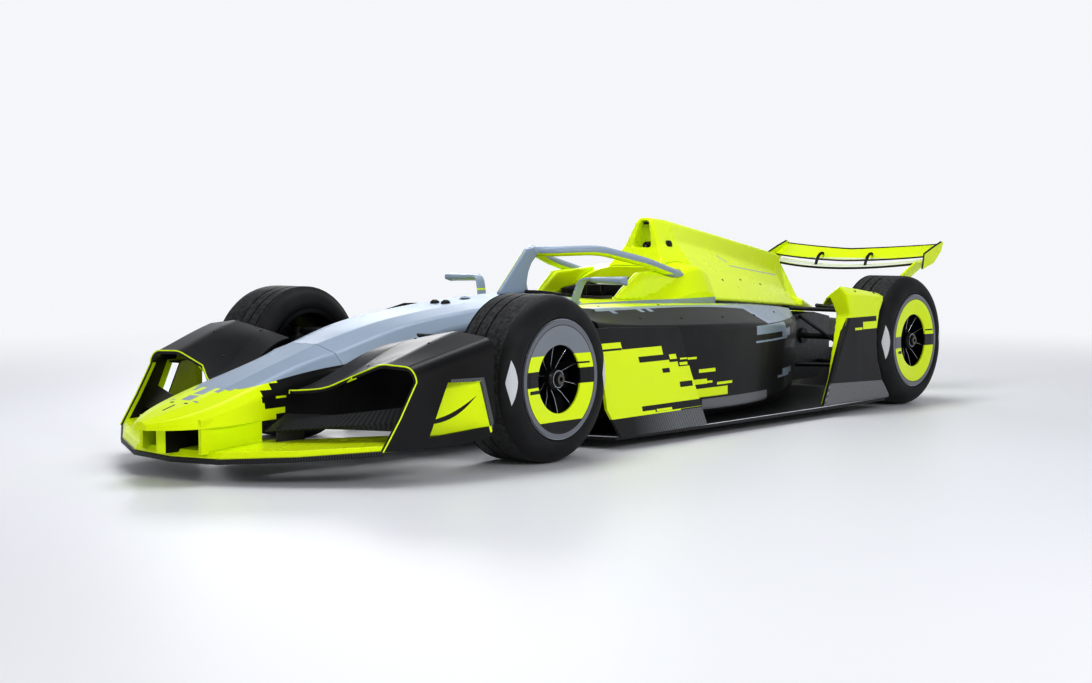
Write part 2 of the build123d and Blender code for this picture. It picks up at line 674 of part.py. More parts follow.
def wishbones(axle_x, half_spread, inner_y, body_tool):
    """Upper and lower arms, pushrod and driveshaft of one left corner, trimmed to the body they meet."""
    for rise, drop in ((ball_rise, 14), (-ball_rise, -4)):
        eye_z = hub_z + rise
        for x_side in (1, -1):
            round_bar((axle_x, kingpin_y - 18, eye_z), (axle_x + x_side * half_spread, inner_y, eye_z + drop), arm_radius)
        upright_pin(axle_x, kingpin_y, eye_z - eye_height / 2, eye_z + eye_height / 2, 25)
    round_bar((axle_x, kingpin_y - 60, hub_z - ball_rise + 8), (axle_x + 26, inner_y, hub_z + 120), 9)
    round_bar((axle_x, upright_inner - moving_gap - 12, hub_z), (axle_x, inner_y, hub_z), driveshaft_radius)
    round_bar((axle_x, inner_y + 34, hub_z), (axle_x, inner_y - 10, hub_z), 42)
    for rise in (ball_rise, -ball_rise):
        upright_pin(axle_x, kingpin_y, hub_z + rise - eye_height, hub_z + rise + eye_height,
                    ball_radius + running_gap, Mode.SUBTRACT)
    add(body_tool, mode=Mode.SUBTRACT)


with BuildPart() as front_suspension:
    wishbones(front_axle, 175, 215, cell_hull.part)
    mirror(about=Plane.XZ)
export(front_suspension, "front_suspension")

with BuildPart() as rear_suspension:
    wishbones(rear_axle, 190, drive_half - 20, drive_unit.part)
    mirror(about=Plane.XZ)
export(rear_suspension, "rear_suspension")

spindle_radius = 24.0
spindle_end = half_width - 100
disc_inner = 700.0
disc_thickness = 30.0
disc_radius = 148.0
caliper_gap = 6.0
pin_radius = 7.0
arm_drift = (rack_x - front_axle) * (1 - cos(radians(steering_lock))) / 2


def upright(axle_x, steer_arm):
    """One left upright: block, ball pins, wheel spindle and brake caliper."""
    profile_prism([
        (axle_x - 34, hub_z - 120), (axle_x + 34, hub_z - 120), (axle_x + 48, hub_z),
        (axle_x + 34, hub_z + 120), (axle_x - 34, hub_z + 120), (axle_x - 48, hub_z),
    ], upright_inner, upright_outer)
    upright_pin(axle_x, kingpin_y, hub_z - ball_rise - eye_height / 2, hub_z + ball_rise + eye_height / 2, ball_radius)
    upright_pin(axle_x, kingpin_y, hub_z - ball_rise + eye_height / 2 + 1, hub_z + ball_rise - eye_height / 2 - 1, 20)
    round_bar((axle_x, upright_outer - 1, hub_z), (axle_x, spindle_end, hub_z), spindle_radius)
    profile_prism([
        (axle_x - 196, hub_z - 52), (axle_x - 100, hub_z - 62), (axle_x - 100, hub_z + 62), (axle_x - 196, hub_z + 52),
    ], disc_inner - 26, disc_inner + disc_thickness + 22)
    profile_prism([
        (axle_x - 130, hub_z - 30), (axle_x - 30, hub_z - 30), (axle_x - 30, hub_z + 30), (axle_x - 130, hub_z + 30),
    ], upright_inner + 6, disc_inner - 14)
    round_bar((axle_x, disc_inner - caliper_gap, hub_z), (axle_x, disc_inner + disc_thickness + caliper_gap, hub_z),
              disc_radius + caliper_gap, Mode.SUBTRACT)
    round_bar((axle_x, upright_outer - 1, hub_z), (axle_x, spindle_end, hub_z), spindle_radius)
    if steer_arm:
        plan_prism([
            (axle_x + 20, upright_inner), (rack_x + 14, upright_inner + 4), (rack_x + 14, upright_outer - 4),
            (axle_x + 20, upright_outer),
        ], rack_z - 26, rack_z - 14)
        upright_pin(rack_x, kingpin_y, rack_z - 20, rack_z + 14, pin_radius)


with BuildPart() as front_upright_left:
    upright(front_axle, True)
export(front_upright_left, "front_upright_left")
with BuildPart() as front_upright_right:
    mirror(front_upright_left.part, about=Plane.XZ)
export(front_upright_right, "front_upright_right")
with BuildPart() as rear_uprights:
    upright(rear_axle, False)
    mirror(about=Plane.XZ)
export(rear_uprights, "rear_uprights")

with BuildPart() as steering_rack:
    eye_x = rack_x - arm_drift
    round_bar((eye_x, -kingpin_y + 16, rack_z), (eye_x, kingpin_y - 16, rack_z), rack_radius)
    for side in (1, -1):
        upright_pin(eye_x, side * kingpin_y, rack_z - 10, rack_z + 10, 20)
        upright_pin(eye_x, side * kingpin_y, rack_z - 12, rack_z + 12, pin_radius + arm_drift + 1.2, Mode.SUBTRACT)
export(steering_rack, "steering_rack")

# ---------------------------------------------------------------- wheels
flange_radius = 245.5
flange_inset = 4.0
spoke_count = 10
cover_hole_radius = 139.0
# Columns: distance in from the sidewall's widest plane, radius
shoulder_rows = [(0, 258), (5, 290), (20, 318), (36, 334), (56, tyre_radius)]
axles = [("front", front_axle, front_tyre_width), ("rear", rear_axle, rear_tyre_width)]
for axle_name, axle_x, tyre_width in axles:
    tyre_inner = half_width - tyre_width
    rim_inner = tyre_inner + flange_inset
    rim_outer = half_width - flange_inset
    spin_axis = Axis((axle_x, 0, hub_z), (0, 1, 0))
    radial = Plane(origin=(axle_x, 0, hub_z), x_dir=(0, 1, 0), z_dir=(1, 0, 0))
    with BuildPart() as tyre:
        outer_half = [(half_width - inset, radius) for inset, radius in shoulder_rows]
        inner_half = [(tyre_inner + inset, radius) for inset, radius in reversed(shoulder_rows)]
        tread_section = straight_outline(radial, [
            (rim_outer - 9, rim_seat_radius + tyre_seat_gap), (rim_outer - 9, 248), *outer_half,
            *inner_half, (rim_inner + 9, 248), (rim_inner + 9, rim_seat_radius + tyre_seat_gap),
        ])
        revolve(tread_section, axis=spin_axis)
    face_plane = Plane(origin=(axle_x, rim_outer - 26, hub_z), x_dir=(1, 0, 0), z_dir=(0, -1, 0))
    with BuildPart() as rim:
        barrel_section = straight_outline(radial, [
            (rim_inner, flange_radius), (rim_inner + 8, flange_radius), (rim_inner + 8, rim_seat_radius),
            (rim_outer - 8, rim_seat_radius), (rim_outer - 8, flange_radius), (rim_outer, flange_radius),
            (rim_outer, 226), (rim_outer - 20, 217), (rim_inner + 20, 217), (rim_inner, 226),
        ])
        revolve(barrel_section, axis=spin_axis)
        with BuildSketch(face_plane) as spokes:
            with PolarLocations(radius=140, count=spoke_count):
                Rectangle(160, 13)
        extrude(spokes.sketch, amount=44)
        round_bar((axle_x, disc_inner, hub_z), (axle_x, rim_outer - 12, hub_z), 62)
        round_bar((axle_x, disc_inner, hub_z), (axle_x, disc_inner + disc_thickness, hub_z), disc_radius)
        round_bar((axle_x, rim_outer - 12, hub_z), (axle_x, rim_outer + 2, hub_z), 34)
        round_bar((axle_x, disc_inner - 1, hub_z), (axle_x, spindle_end + 4, hub_z),
                  spindle_radius + running_gap, Mode.SUBTRACT)
    with BuildPart() as wheel_cover:
        cover_section = straight_outline(radial, [
            (rim_outer - 14, cover_hole_radius), (rim_outer - 6, cover_hole_radius),
            (rim_outer + 2.5, 196), (rim_outer + 3.5, flange_radius - 4), (rim_outer + 0.3, flange_radius - 4),
            (rim_outer + 0.3, 225), (rim_outer - 6, 196),
        ])
        revolve(cover_section, axis=spin_axis)
        add(rim.part, mode=Mode.SUBTRACT)
    for piece_name, piece in (("tyre", tyre), ("rim", rim), ("wheel_cover", wheel_cover)):
        export(piece, f"{piece_name}_{axle_name}_left")
        with BuildPart() as opposite:
            mirror(piece.part, about=Plane.XZ)
        export(opposite, f"{piece_name}_{axle_name}_right")
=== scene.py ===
# %% [markdown]
# # An open wheel racing car, dressed for the studio
# The body panels, wings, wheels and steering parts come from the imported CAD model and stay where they
# are. This notebook adds what a body shop and a pit crew add: paint, carbon weave, treaded tyres,
# lips and edge trims, fasteners, belts, pads and mirrors. Units are metres, +X is forward, +Y is the
# car's left and +Z is up.

# %% Load the frame
import json
import math
import bpy
import bmesh
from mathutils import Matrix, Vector


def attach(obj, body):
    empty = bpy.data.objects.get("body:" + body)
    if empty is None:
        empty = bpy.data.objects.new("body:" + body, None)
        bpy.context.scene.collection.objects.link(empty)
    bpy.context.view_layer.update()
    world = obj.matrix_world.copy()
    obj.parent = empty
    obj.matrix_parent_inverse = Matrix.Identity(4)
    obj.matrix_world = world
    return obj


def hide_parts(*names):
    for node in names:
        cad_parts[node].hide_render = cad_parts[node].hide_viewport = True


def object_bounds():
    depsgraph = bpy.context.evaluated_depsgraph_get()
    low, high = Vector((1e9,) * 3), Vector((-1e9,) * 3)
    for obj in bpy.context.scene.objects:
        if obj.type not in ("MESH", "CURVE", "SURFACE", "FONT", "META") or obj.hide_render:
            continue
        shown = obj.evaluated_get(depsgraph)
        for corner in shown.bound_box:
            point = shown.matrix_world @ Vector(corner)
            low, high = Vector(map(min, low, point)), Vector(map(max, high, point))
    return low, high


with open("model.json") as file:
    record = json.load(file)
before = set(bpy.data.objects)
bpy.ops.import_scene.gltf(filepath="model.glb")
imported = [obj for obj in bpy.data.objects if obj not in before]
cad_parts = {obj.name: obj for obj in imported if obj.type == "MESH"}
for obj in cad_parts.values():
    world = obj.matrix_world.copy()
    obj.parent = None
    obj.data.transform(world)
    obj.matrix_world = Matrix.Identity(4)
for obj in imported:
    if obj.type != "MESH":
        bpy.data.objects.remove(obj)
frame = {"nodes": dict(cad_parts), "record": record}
nodes = frame["nodes"]
cad_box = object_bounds()
print("CAD nodes:", len(nodes), "box:", [round(v, 3) for corner in cad_box for v in corner])

# %% [markdown]
# ## Camera
# A long lens from the car's front left, one metre above the ground, gives the low and calm
# perspective of a studio portrait. A heading is turned from +X, as on a map, and a new camera looks
# straight down, so it is tipped up by a right angle less the dip.

# %% Camera
CAMERA_PLACE = (7.2066, 5.4303, 0.9878)
CAMERA_HEADING = 218.287
CAMERA_DIP = 3.78
CAMERA_LENS = 60.92

tip = math.radians(90 - CAMERA_DIP)
bpy.ops.object.camera_add(location=CAMERA_PLACE, rotation=(tip, 0, math.radians(CAMERA_HEADING - 90)))
camera = bpy.context.object
camera.data.lens = CAMERA_LENS
camera.data.sensor_width = 36
camera.data.clip_end = 400
bpy.context.scene.camera = camera
print("camera", round(camera.location.length, 2), "m from the car")

# %% [markdown]
# ## Floor and sky
# The floor is a wide pale disc that glows more and more towards its rim, so that it runs into the
# white sky without a line, as the sweep of paper in a studio does. The sky is darker high up, which
# keeps black paint black. Both changes are gradual, so both come from one smooth step.

# %% Floor and sky
SKY = (0.93, 0.94, 0.965, 1)
HIGH_SKY = (0.3, 0.31, 0.34, 1)
SKY_HEIGHTS = (0.2, 0.75)
FLOOR_COLOR = (0.84, 0.85, 0.875, 1)
FLOOR_RADIUS = 80
FADE_METRES = (2.4, 8.5)


def smooth_step(tree, source, low_and_high):
    """A socket that goes from 0 at the low value of the source socket to 1 at the high one."""
    step = tree.nodes.new("ShaderNodeMapRange")
    step.interpolation_type = "SMOOTHSTEP"
    step.inputs["From Min"].default_value, step.inputs["From Max"].default_value = low_and_high
    tree.links.new(source, step.inputs["Value"])
    return step.outputs[0]


def fade_into_sky(tree, shader):
    """Turns a floor material into plain sky light with the distance from the car."""
    place = tree.nodes.new("ShaderNodeTexCoord")
    distance = tree.nodes.new("ShaderNodeVectorMath")
    distance.operation = "LENGTH"
    tree.links.new(place.outputs["Object"], distance.inputs[0])
    glow = tree.nodes.new("ShaderNodeEmission")
    glow.inputs["Color"].default_value = SKY
    blend = tree.nodes.new("ShaderNodeMixShader")
    tree.links.new(smooth_step(tree, distance.outputs["Value"], FADE_METRES), blend.inputs[0])
    tree.links.new(shader.outputs[0], blend.inputs[1])
    tree.links.new(glow.outputs[0], blend.inputs[2])
    tree.links.new(blend.outputs[0], tree.nodes["Material Output"].inputs["Surface"])


def darken_overhead(tree):
    """White round the horizon, where the sky is the backdrop, and greyer overhead."""
    background = tree.nodes["Background"]
    background.inputs["Strength"].default_value = 1.0
    place = tree.nodes.new("ShaderNodeTexCoord")
    split = tree.nodes.new("ShaderNodeSeparateXYZ")
    tree.links.new(place.outputs["Generated"], split.inputs[0])
    blend = tree.nodes.new("ShaderNodeMix")
    blend.data_type = "RGBA"
    blend.inputs[6].default_value = SKY
    blend.inputs[7].default_value = HIGH_SKY
    tree.links.new(smooth_step(tree, split.outputs[2], SKY_HEIGHTS), blend.inputs[0])
    tree.links.new(blend.outputs[2], background.inputs["Color"])


bpy.ops.mesh.primitive_circle_add(
    vertices=96, radius=FLOOR_RADIUS, fill_type="NGON", location=(0, 0, -0.0005))
floor = bpy.context.object
floor.name = "studio_floor"
surface = bpy.data.materials.new("studio_floor")
surface.use_nodes = True
floor_shader = surface.node_tree.nodes["Principled BSDF"]
floor_shader.inputs["Base Color"].default_value = FLOOR_COLOR
floor_shader.inputs["Roughness"].default_value = 0.45
fade_into_sky(surface.node_tree, floor_shader)
floor.data.materials.append(surface)
world = bpy.context.scene.world or bpy.data.worlds.new("sky")
bpy.context.scene.world = world
world.use_nodes = True
darken_overhead(world.node_tree)
print("floor radius", FLOOR_RADIUS, "m, fading from", FADE_METRES[0], "to", FADE_METRES[1], "m")

# %% [markdown]
# ## Soft boxes
# One long box hangs over the spine of the car and two stand beside it. Their long shapes draw the
# long highlights that show how a panel curves. A gamma a little under one deepens the mid tones.

# %% Soft boxes
# Rows: place, turn in degrees, length, width, watts
SOFT_BOXES = [
    ((0.3, -0.4, 4.6), (0, 0, 0), 5.5, 1.6, 160),
    ((3.5, 6.5, 3.4), (-62, 0, -28), 3.0, 1.2, 150),
    ((-4.5, -5.5, 3.0), (62, 0, -40), 4.0, 1.4, 130),
]
for place, degrees, length, width, watts in SOFT_BOXES:
    bpy.ops.object.light_add(type="AREA", location=place, rotation=[math.radians(angle) for angle in degrees])
    lamp = bpy.context.object.data
    lamp.shape = "RECTANGLE"
    lamp.size = length
    lamp.size_y = width
    lamp.energy = watts
bpy.context.scene.view_settings.view_transform = "Standard"
bpy.context.scene.view_settings.gamma = 0.8
print(len(SOFT_BOXES), "soft boxes")

# %% [markdown]
# ## Paint that knows where it is
# A racing livery is cut vinyl and sprayed panels whose edges follow the body's own stations. The
# materials below do the same: they read a point's place on the car and decide with plain sums and
# comparisons which paint lies there. `Field` turns those sums into shader math nodes.

# %% Shader fields
class Field:
    """A number that varies over a surface. Sums and comparisons on it become shader math nodes."""

    def __init__(self, tree, socket):
        self.tree = tree
        self.socket = socket

    def apply(self, operation, *others):
        node = self.tree.nodes.new("ShaderNodeMath")
        node.operation = operation
        for place, value in enumerate((self, *others)):
            if isinstance(value, Field):
                self.tree.links.new(value.socket, node.inputs[place])
            else:
                node.inputs[place].default_value = value
        return Field(self.tree, node.outputs[0])

    def __add__(self, other):
        return self.apply("ADD", other)

    def __sub__(self, other):
        return self.apply("SUBTRACT", other)

    def __mul__(self, other):
        return self.apply("MULTIPLY", other)

    def above(self, level):
        return self.apply("GREATER_THAN", level)

    def below(self, level):
        return self.apply("LESS_THAN", level)

    def within(self, low, high):
        return self.above(low) * self.below(high)

    def either(self, other):
        return self.apply("MAXIMUM", other)

    def cell(self, size):
        """The number of the cell of that size that a point lies in."""
        return (self * (1 / size)).apply("FLOOR")

    def ramp(self, low, high):
        """0 at low, 1 at high and a straight run between."""
        return ((self - low) * (1 / (high - low))).apply("MAXIMUM", 0).apply("MINIMUM", 1)


def scatter(field, seed=0.0):
    """A fixed number between 0 and 1 for each whole value of the field."""
    noise = field.tree.nodes.new("ShaderNodeTexWhiteNoise")
    noise.noise_dimensions = "1D"
    field.tree.links.new((field + seed).socket, noise.inputs["W"])
    return Field(field.tree, noise.outputs["Value"])


print("fields ready")

# %% [markdown]
# ## One kind of paint job
# Every finish on the car is a principled surface with a base coat, some layers that cover part of it,
# a fine unevenness that breaks up highlights as real clear coat does, and a little dust. `Paint`
# keeps those together, so that each panel's livery is a short list of layers.

# %% The paint class
LIME = (0.74, 0.9, 0.0)
SILVER = (0.325, 0.395, 0.485)
BLACK = (0.006, 0.006, 0.0065)


class Paint:
    """A material whose colour, roughness and metal are laid on in layers over a base coat."""

    def __init__(self, name, color, roughness=0.3, metallic=0.0, coat=0.1, grain=0.00012, gloss=0.27):
        self.material = bpy.data.materials.new(name)
        self.material.use_nodes = True
        self.tree = self.material.node_tree
        self.shader = self.tree.nodes["Principled BSDF"]
        self.shader.inputs["Coat Weight"].default_value = coat
        self.shader.inputs["Coat Roughness"].default_value = 0.08
        self.shader.inputs["Specular IOR Level"].default_value = gloss
        coordinates = self.tree.nodes.new("ShaderNodeTexCoord")
        self.place = coordinates.outputs["Object"]
        split = self.tree.nodes.new("ShaderNodeSeparateXYZ")
        self.tree.links.new(self.place, split.inputs[0])
        self.x, self.y, self.z = (Field(self.tree, split.outputs[i]) for i in range(3))
        self.side = self.y.apply("ABSOLUTE")
        geometry = self.tree.nodes.new("ShaderNodeNewGeometry")
        turned = self.tree.nodes.new("ShaderNodeSeparateXYZ")
        self.tree.links.new(geometry.outputs["Normal"], turned.inputs[0])
        self.facing_front = Field(self.tree, turned.outputs[0])
        self.facing_left = Field(self.tree, turned.outputs[1])
        self.facing_up = Field(self.tree, turned.outputs[2])
        self.grain = grain
        self.color = color
        self.roughness = roughness
        self.metallic = metallic

    def facing_out(self):
        """1 where the surface faces away from the car's middle plane, -1 where it faces the plane."""
        return self.facing_left * self.y.apply("SIGN")

    def noise(self, scale, detail=2.0):
        """Smooth noise between 0 and 1 at that many bumps to the metre."""
        node = self.tree.nodes.new("ShaderNodeTexNoise")
        node.inputs["Scale"].default_value = scale
        node.inputs["Detail"].default_value = detail
        self.tree.links.new(self.place, node.inputs["Vector"])
        return Field(self.tree, node.outputs["Fac"])

    def mix(self, kind, mask, under, over):
        """The socket of a number or a colour that is `over` where the mask is 1 and `under` elsewhere."""
        node = self.tree.nodes.new("ShaderNodeMix")
        node.data_type = kind
        first = {"FLOAT": 2, "RGBA": 6}[kind]
        self.tree.links.new(mask.socket, node.inputs[0])
        for place, value in ((first, under), (first + 1, over)):
            if isinstance(value, bpy.types.NodeSocket):
                self.tree.links.new(value, node.inputs[place])
            elif isinstance(value, Field):
                self.tree.links.new(value.socket, node.inputs[place])
            elif kind == "RGBA":
                node.inputs[place].default_value = (*value, 1)
            else:
                node.inputs[place].default_value = value
        return node.outputs[{"FLOAT": 0, "RGBA": 2}[kind]]

    def layer(self, mask, color, roughness=None, metallic=None):
        """Another coat where the mask is 1."""
        self.color = self.mix("RGBA", mask, self.color, color)
        if roughness is not None:
            self.roughness = Field(self.tree, self.mix("FLOAT", mask, self.roughness, roughness))
        if metallic is not None:
            self.metallic = Field(self.tree, self.mix("FLOAT", mask, self.metallic, metallic))

    def twill(self, pitch=0.0035):
        """1 and 0 in the diagonal steps of a 2 x 2 twill, on whichever plane the surface lies."""
        across = (self.x + self.y * 0.5).cell(pitch)
        along = (self.z + self.y * 0.5).cell(pitch)
        return ((across + along) * 0.25).apply("FRACT").below(0.5)

    def done(self):
        """Links the last coat to the shader with its unevenness and dust."""
        dust = self.noise(5.5, 4.0)
        color = self.mix("RGBA", dust.ramp(0.35, 0.8) * 0.025, self.color, (0.4, 0.41, 0.43))
        self.tree.links.new(color, self.shader.inputs["Base Color"])
        rough = self.roughness
        if not isinstance(rough, Field):
            rough = dust * 0.08 + (rough - 0.04)
        else:
            rough = rough + dust * 0.08
        self.tree.links.new(rough.socket, self.shader.inputs["Roughness"])
        if isinstance(self.metallic, Field):
            self.tree.links.new(self.metallic.socket, self.shader.inputs["Metallic"])
        else:
            self.shader.inputs["Metallic"].default_value = self.metallic
        bump = self.tree.nodes.new("ShaderNodeBump")
        bump.inputs["Strength"].default_value = 0.25
        bump.inputs["Distance"].default_value = self.grain
        self.tree.links.new(self.noise(260, 3.0).socket, bump.inputs["Height"])
        self.tree.links.new(bump.outputs[0], self.shader.inputs["Normal"])
        return self.material


looks = {}
print("paint ready")

# %% [markdown]
# ## Nose and survival cell
# A racing nose is one moulding, sprayed silver on top, with a lime tip that breaks up into square
# pixels towards the cockpit and a black flank below the crease. The pixels are rows of cells whose
# ends are scattered by a fixed number each, as a cut stencil would be laid out once and kept.

# %% Nose and cell paint
CREASE_SLOPE = -0.152
CREASE_HEIGHT = 0.335 - 2.393 * CREASE_SLOPE
PIXEL = 0.026
DEEP_SHADE = (0.004, 0.0045, 0.003)


def silver_paint(name):
    """The satin silver of the nose, the cell and the halo."""
    return Paint(name, SILVER, roughness=0.42, metallic=0.1, coat=0.06, gloss=0.14)


def flank_edge(paint):
    """1 below the long line that parts the silver top from the black flank, well off the middle."""
    line = paint.x * CREASE_SLOPE + CREASE_HEIGHT
    return (line - paint.z).above(0) * paint.side.above(0.1)


def nose_paint():
    """Silver with black flanks and a lime tip, with painted shade inside the ducts under the wing."""
    paint = silver_paint("nose_paint")
    flank = flank_edge(paint)
    paint.layer(flank, BLACK, 0.4, 0.0)
    top_end = scatter(paint.side.cell(PIXEL), 7.3) * 0.13 + 2.37
    flank_end = scatter(paint.z.cell(0.0235), 3.1) * 0.2 + 2.13
    on_top = (paint.x - top_end).above(0) * flank.below(0.5)
    on_flank = (paint.x - flank_end).above(0) * flank
    paint.layer(on_top.either(on_flank), LIME, 0.26, 0.0)
    pixels = scatter(paint.side.cell(PIXEL) * 31.0 + paint.x.cell(0.05)).above(0.72)
    pixel_field = paint.x.within(2.42, 2.56) * paint.side.below(0.105) * flank.below(0.5)
    paint.layer(pixels * pixel_field, SILVER, 0.28, 0.35)
    dash = paint.z.within(0.294, 0.303) * paint.x.within(2.19, 2.25) * flank
    paint.layer(dash, LIME, 0.26)
    # Painted shade: the duct walls, the keel's sides and the bulkhead behind them are painted near black
    # where shade falls inside the ducts.
    duct = paint.z.below(0.203) * paint.side.within(0.029, 0.176) * paint.x.below(2.61)
    duct = duct * paint.facing_out().above(-0.5)
    keel_wall = paint.side.within(0.0272, 0.05) * paint.z.below(0.205) * paint.x.below(2.672)
    bulkhead = paint.facing_front.above(0.5) * paint.x.below(2.37) * paint.z.below(0.26)
    paint.layer(duct.either(keel_wall).either(bulkhead), DEEP_SHADE, 0.6, 0.0)
    middle = paint.side.below(0.005) * paint.x.within(2.6, 2.66)
    cross = paint.side.within(0.03, 0.05) * paint.x.within(2.575, 2.585)
    paint.layer(middle.either(cross), BLACK, 0.4)
    return paint.done()


def cell_paint():
    """The nose's silver and black carried on, lime from the cockpit back and carbon inside it."""
    paint = silver_paint("cell_paint")
    paint.layer(flank_edge(paint) * paint.x.above(0.7), BLACK, 0.4, 0.0)
    steps = scatter(paint.z.cell(0.014), 5.0) * 0.05
    cockpit = (paint.x + steps).below(0.44) * paint.z.above(0.6)
    paint.layer(cockpit, LIME, 0.26, 0.0)
    inside = paint.side.below(0.246) * paint.z.below(0.592) * paint.x.within(-0.4, 0.95)
    paint.layer(inside, BLACK, 0.5, 0.0)
    paint.layer(inside * paint.twill(0.004), (0.05, 0.052, 0.056), 0.42)
    return paint.done()


looks["nose_paint"] = nose_paint()
looks["cell_paint"] = cell_paint()
print("nose and cell painted")

# %% [markdown]
# ## Boards ahead of the sidepods
# The boards are lime with black notches, and bare carbon shows along their lower edge, as it does on
# every panel near the road. Each notch and dash is a box in the side view, so its row holds its two
# stations and its two heights, as measured along the body.

# %% Board paint
# Rows of every list: rear and front station, lower and upper height
BOARD_BLACK = [
    (0.0, 0.72, 0.424, 0.6), (0.72, 1.0, 0.456, 0.6), (0.723, 0.95, 0.4225, 0.431),
    (0.0, 0.423, 0.384, 0.43), (0.38, 0.615, 0.361, 0.386), (0.0, 0.325, 0.327, 0.386),
    (0.0, 0.388, 0.35, 0.362), (0.4, 0.457, 0.307, 0.326), (0.24, 0.34, 0.236, 0.26),
    (0.0, 0.656, 0.143, 0.174),
]
BOARD_LIME = [
    (0.25, 0.313, 0.332, 0.345), (0.241, 0.292, 0.307, 0.318), (0.56, 0.656, 0.141, 0.153),
    (0.43, 0.55, 0.144, 0.155), (0.245, 0.3, 0.356, 0.364),
]


def in_rows(paint, rows):
    """1 inside any of the boxes of the side view, which are rows of two stations and two heights."""
    mask = None
    for low_x, high_x, low_z, high_z in rows:
        box = paint.x.within(low_x, high_x) * paint.z.within(low_z, high_z)
        mask = box if mask is None else mask.either(box)
    return mask


def woven(paint, mask, light, pitch=0.0035):
    """Bare twill carbon where the mask is 1."""
    paint.layer(mask, tuple(channel * 0.35 for channel in light), 0.38, 0.0)
    paint.layer(mask * paint.twill(pitch), light, 0.3)


def board_paint():
    """Lime cut by black notches, over a foot of bare carbon that turns black forward."""
    paint = Paint("panel_paint", LIME, roughness=0.27, coat=0.1, gloss=0.26)
    paint.layer(in_rows(paint, BOARD_BLACK), BLACK, 0.4)
    paint.layer(in_rows(paint, BOARD_LIME), LIME, 0.27)
    paint.layer(paint.z.within(0.134, 0.1415) * paint.x.within(0.1, 0.365), BLACK, 0.4)
    foot = paint.z.below(0.136)
    woven(paint, foot, (0.2, 0.21, 0.225))
    paint.layer(foot * paint.x.ramp(0.42, 0.74), BLACK, 0.45)
    return paint.done()


looks["panel_paint"] = board_paint()
print("boards painted with", len(BOARD_BLACK) + len(BOARD_LIME), "boxes")

# %% [markdown]
# ## Sidepods
# A sidepod is satin black with a silver and lime deck. The edge of the silver breaks up into blocks
# above the inlet, and the silver patch at the back is crossed by thin slanted louvre lines. Smaller
# dashes lie in rows of boxes again.

# %% Sidepod paint
# Rows: rear and front station, lower and upper height
POD_LIME = [
    (-0.05, 0.084, 0.279, 0.296), (0.02, 0.125, 0.226, 0.25), (-0.024, 0.02, 0.228, 0.239),
    (-0.195, -0.062, 0.215, 0.228), (-0.153, 0.105, 0.165, 0.206), (0.1, 0.2, 0.345, 0.356),
]
POD_SILVER = [
    (-0.87, -0.45, 0.428, 0.472), (-0.9, -0.44, 0.389, 0.399), (-0.96, -0.8, 0.4, 0.44),
    (-0.93, -0.72, 0.2, 0.212), (-0.99, -0.8, 0.212, 0.24),
]


def pod_paint():
    """Black with a silver and lime deck, a louvred silver patch, dashes and a carbon foot."""
    paint = Paint("pod_paint", BLACK, roughness=0.36, coat=0.1, gloss=0.22)
    shoulder = paint.x * 0.018 + 0.556
    deck = (paint.z - shoulder).above(0) * paint.side.below(0.515) * paint.x.below(0.62)
    paint.layer(deck, SILVER, 0.26, 0.35)
    paint.layer(deck * paint.side.below(0.44), LIME, 0.26, 0.0)
    blocks = scatter(paint.x.cell(0.035), 11.0).above(0.55) * paint.side.within(0.515, 0.545)
    paint.layer(blocks * paint.x.within(0.2, 0.62) * paint.z.above(0.5), SILVER, 0.3, 0.3)
    patch = paint.x.within(-1.5, -0.6) * paint.z.above(0.476)
    paint.layer(patch, SILVER, 0.3, 0.35)
    louvre = ((paint.x * 0.8 + paint.side) * 62.0).apply("FRACT").below(0.16) * paint.x.within(-1.1, -0.66)
    paint.layer(louvre * patch, (0.1, 0.12, 0.2), 0.4, 0.0)
    paint.layer(in_rows(paint, POD_SILVER), SILVER, 0.3, 0.35)
    paint.layer(in_rows(paint, POD_LIME), LIME, 0.27, 0.0)
    foot = paint.z.within(0.106, 0.155) * paint.x.within(-0.56, 0.062)
    woven(paint, foot, (0.27, 0.28, 0.3))
    woven(paint, paint.z.below(0.106), (0.05, 0.052, 0.056))
    return paint.done()


looks["pod_paint"] = pod_paint()
print("sidepods painted with", len(POD_LIME) + len(POD_SILVER), "boxes")

# %% [markdown]
# ## Front wheel fairings
# Each front fairing is black outside, with a lime panel whose lower part is cut by one rising black
# sweep, and lime on every face that looks inboard. The sweep lies between two power curves that leave
# the panel's front edge together and part towards its back.

# %% Front fairing paint
def lip_of_fairing(paint, width):
    """1 within that width of a front fairing's leading edge, on its wall, roof and inner blade."""
    low_wall = (paint.x + paint.z * 0.744 - (2.255 + 0.128 * 0.744 - width * 1.25)).above(0)
    low_wall = low_wall * paint.z.below(0.245)
    high_wall = (paint.x + paint.z * 0.656 - (2.168 + 0.245 * 0.656 - width * 1.2)).above(0)
    high_wall = high_wall * paint.z.within(0.245, 0.376)
    blade = (paint.x + paint.side * 0.6 - (2.204 + 0.23 * 0.6 - width * 1.17)).above(0)
    blade = blade * paint.side.below(0.43)
    roof = paint.x.above(2.081 - width) * paint.z.above(0.376) * paint.side.above(0.43)
    wall = low_wall.either(high_wall) * paint.side.above(0.65)
    return wall.either(blade * paint.z.above(0.3)).either(roof)


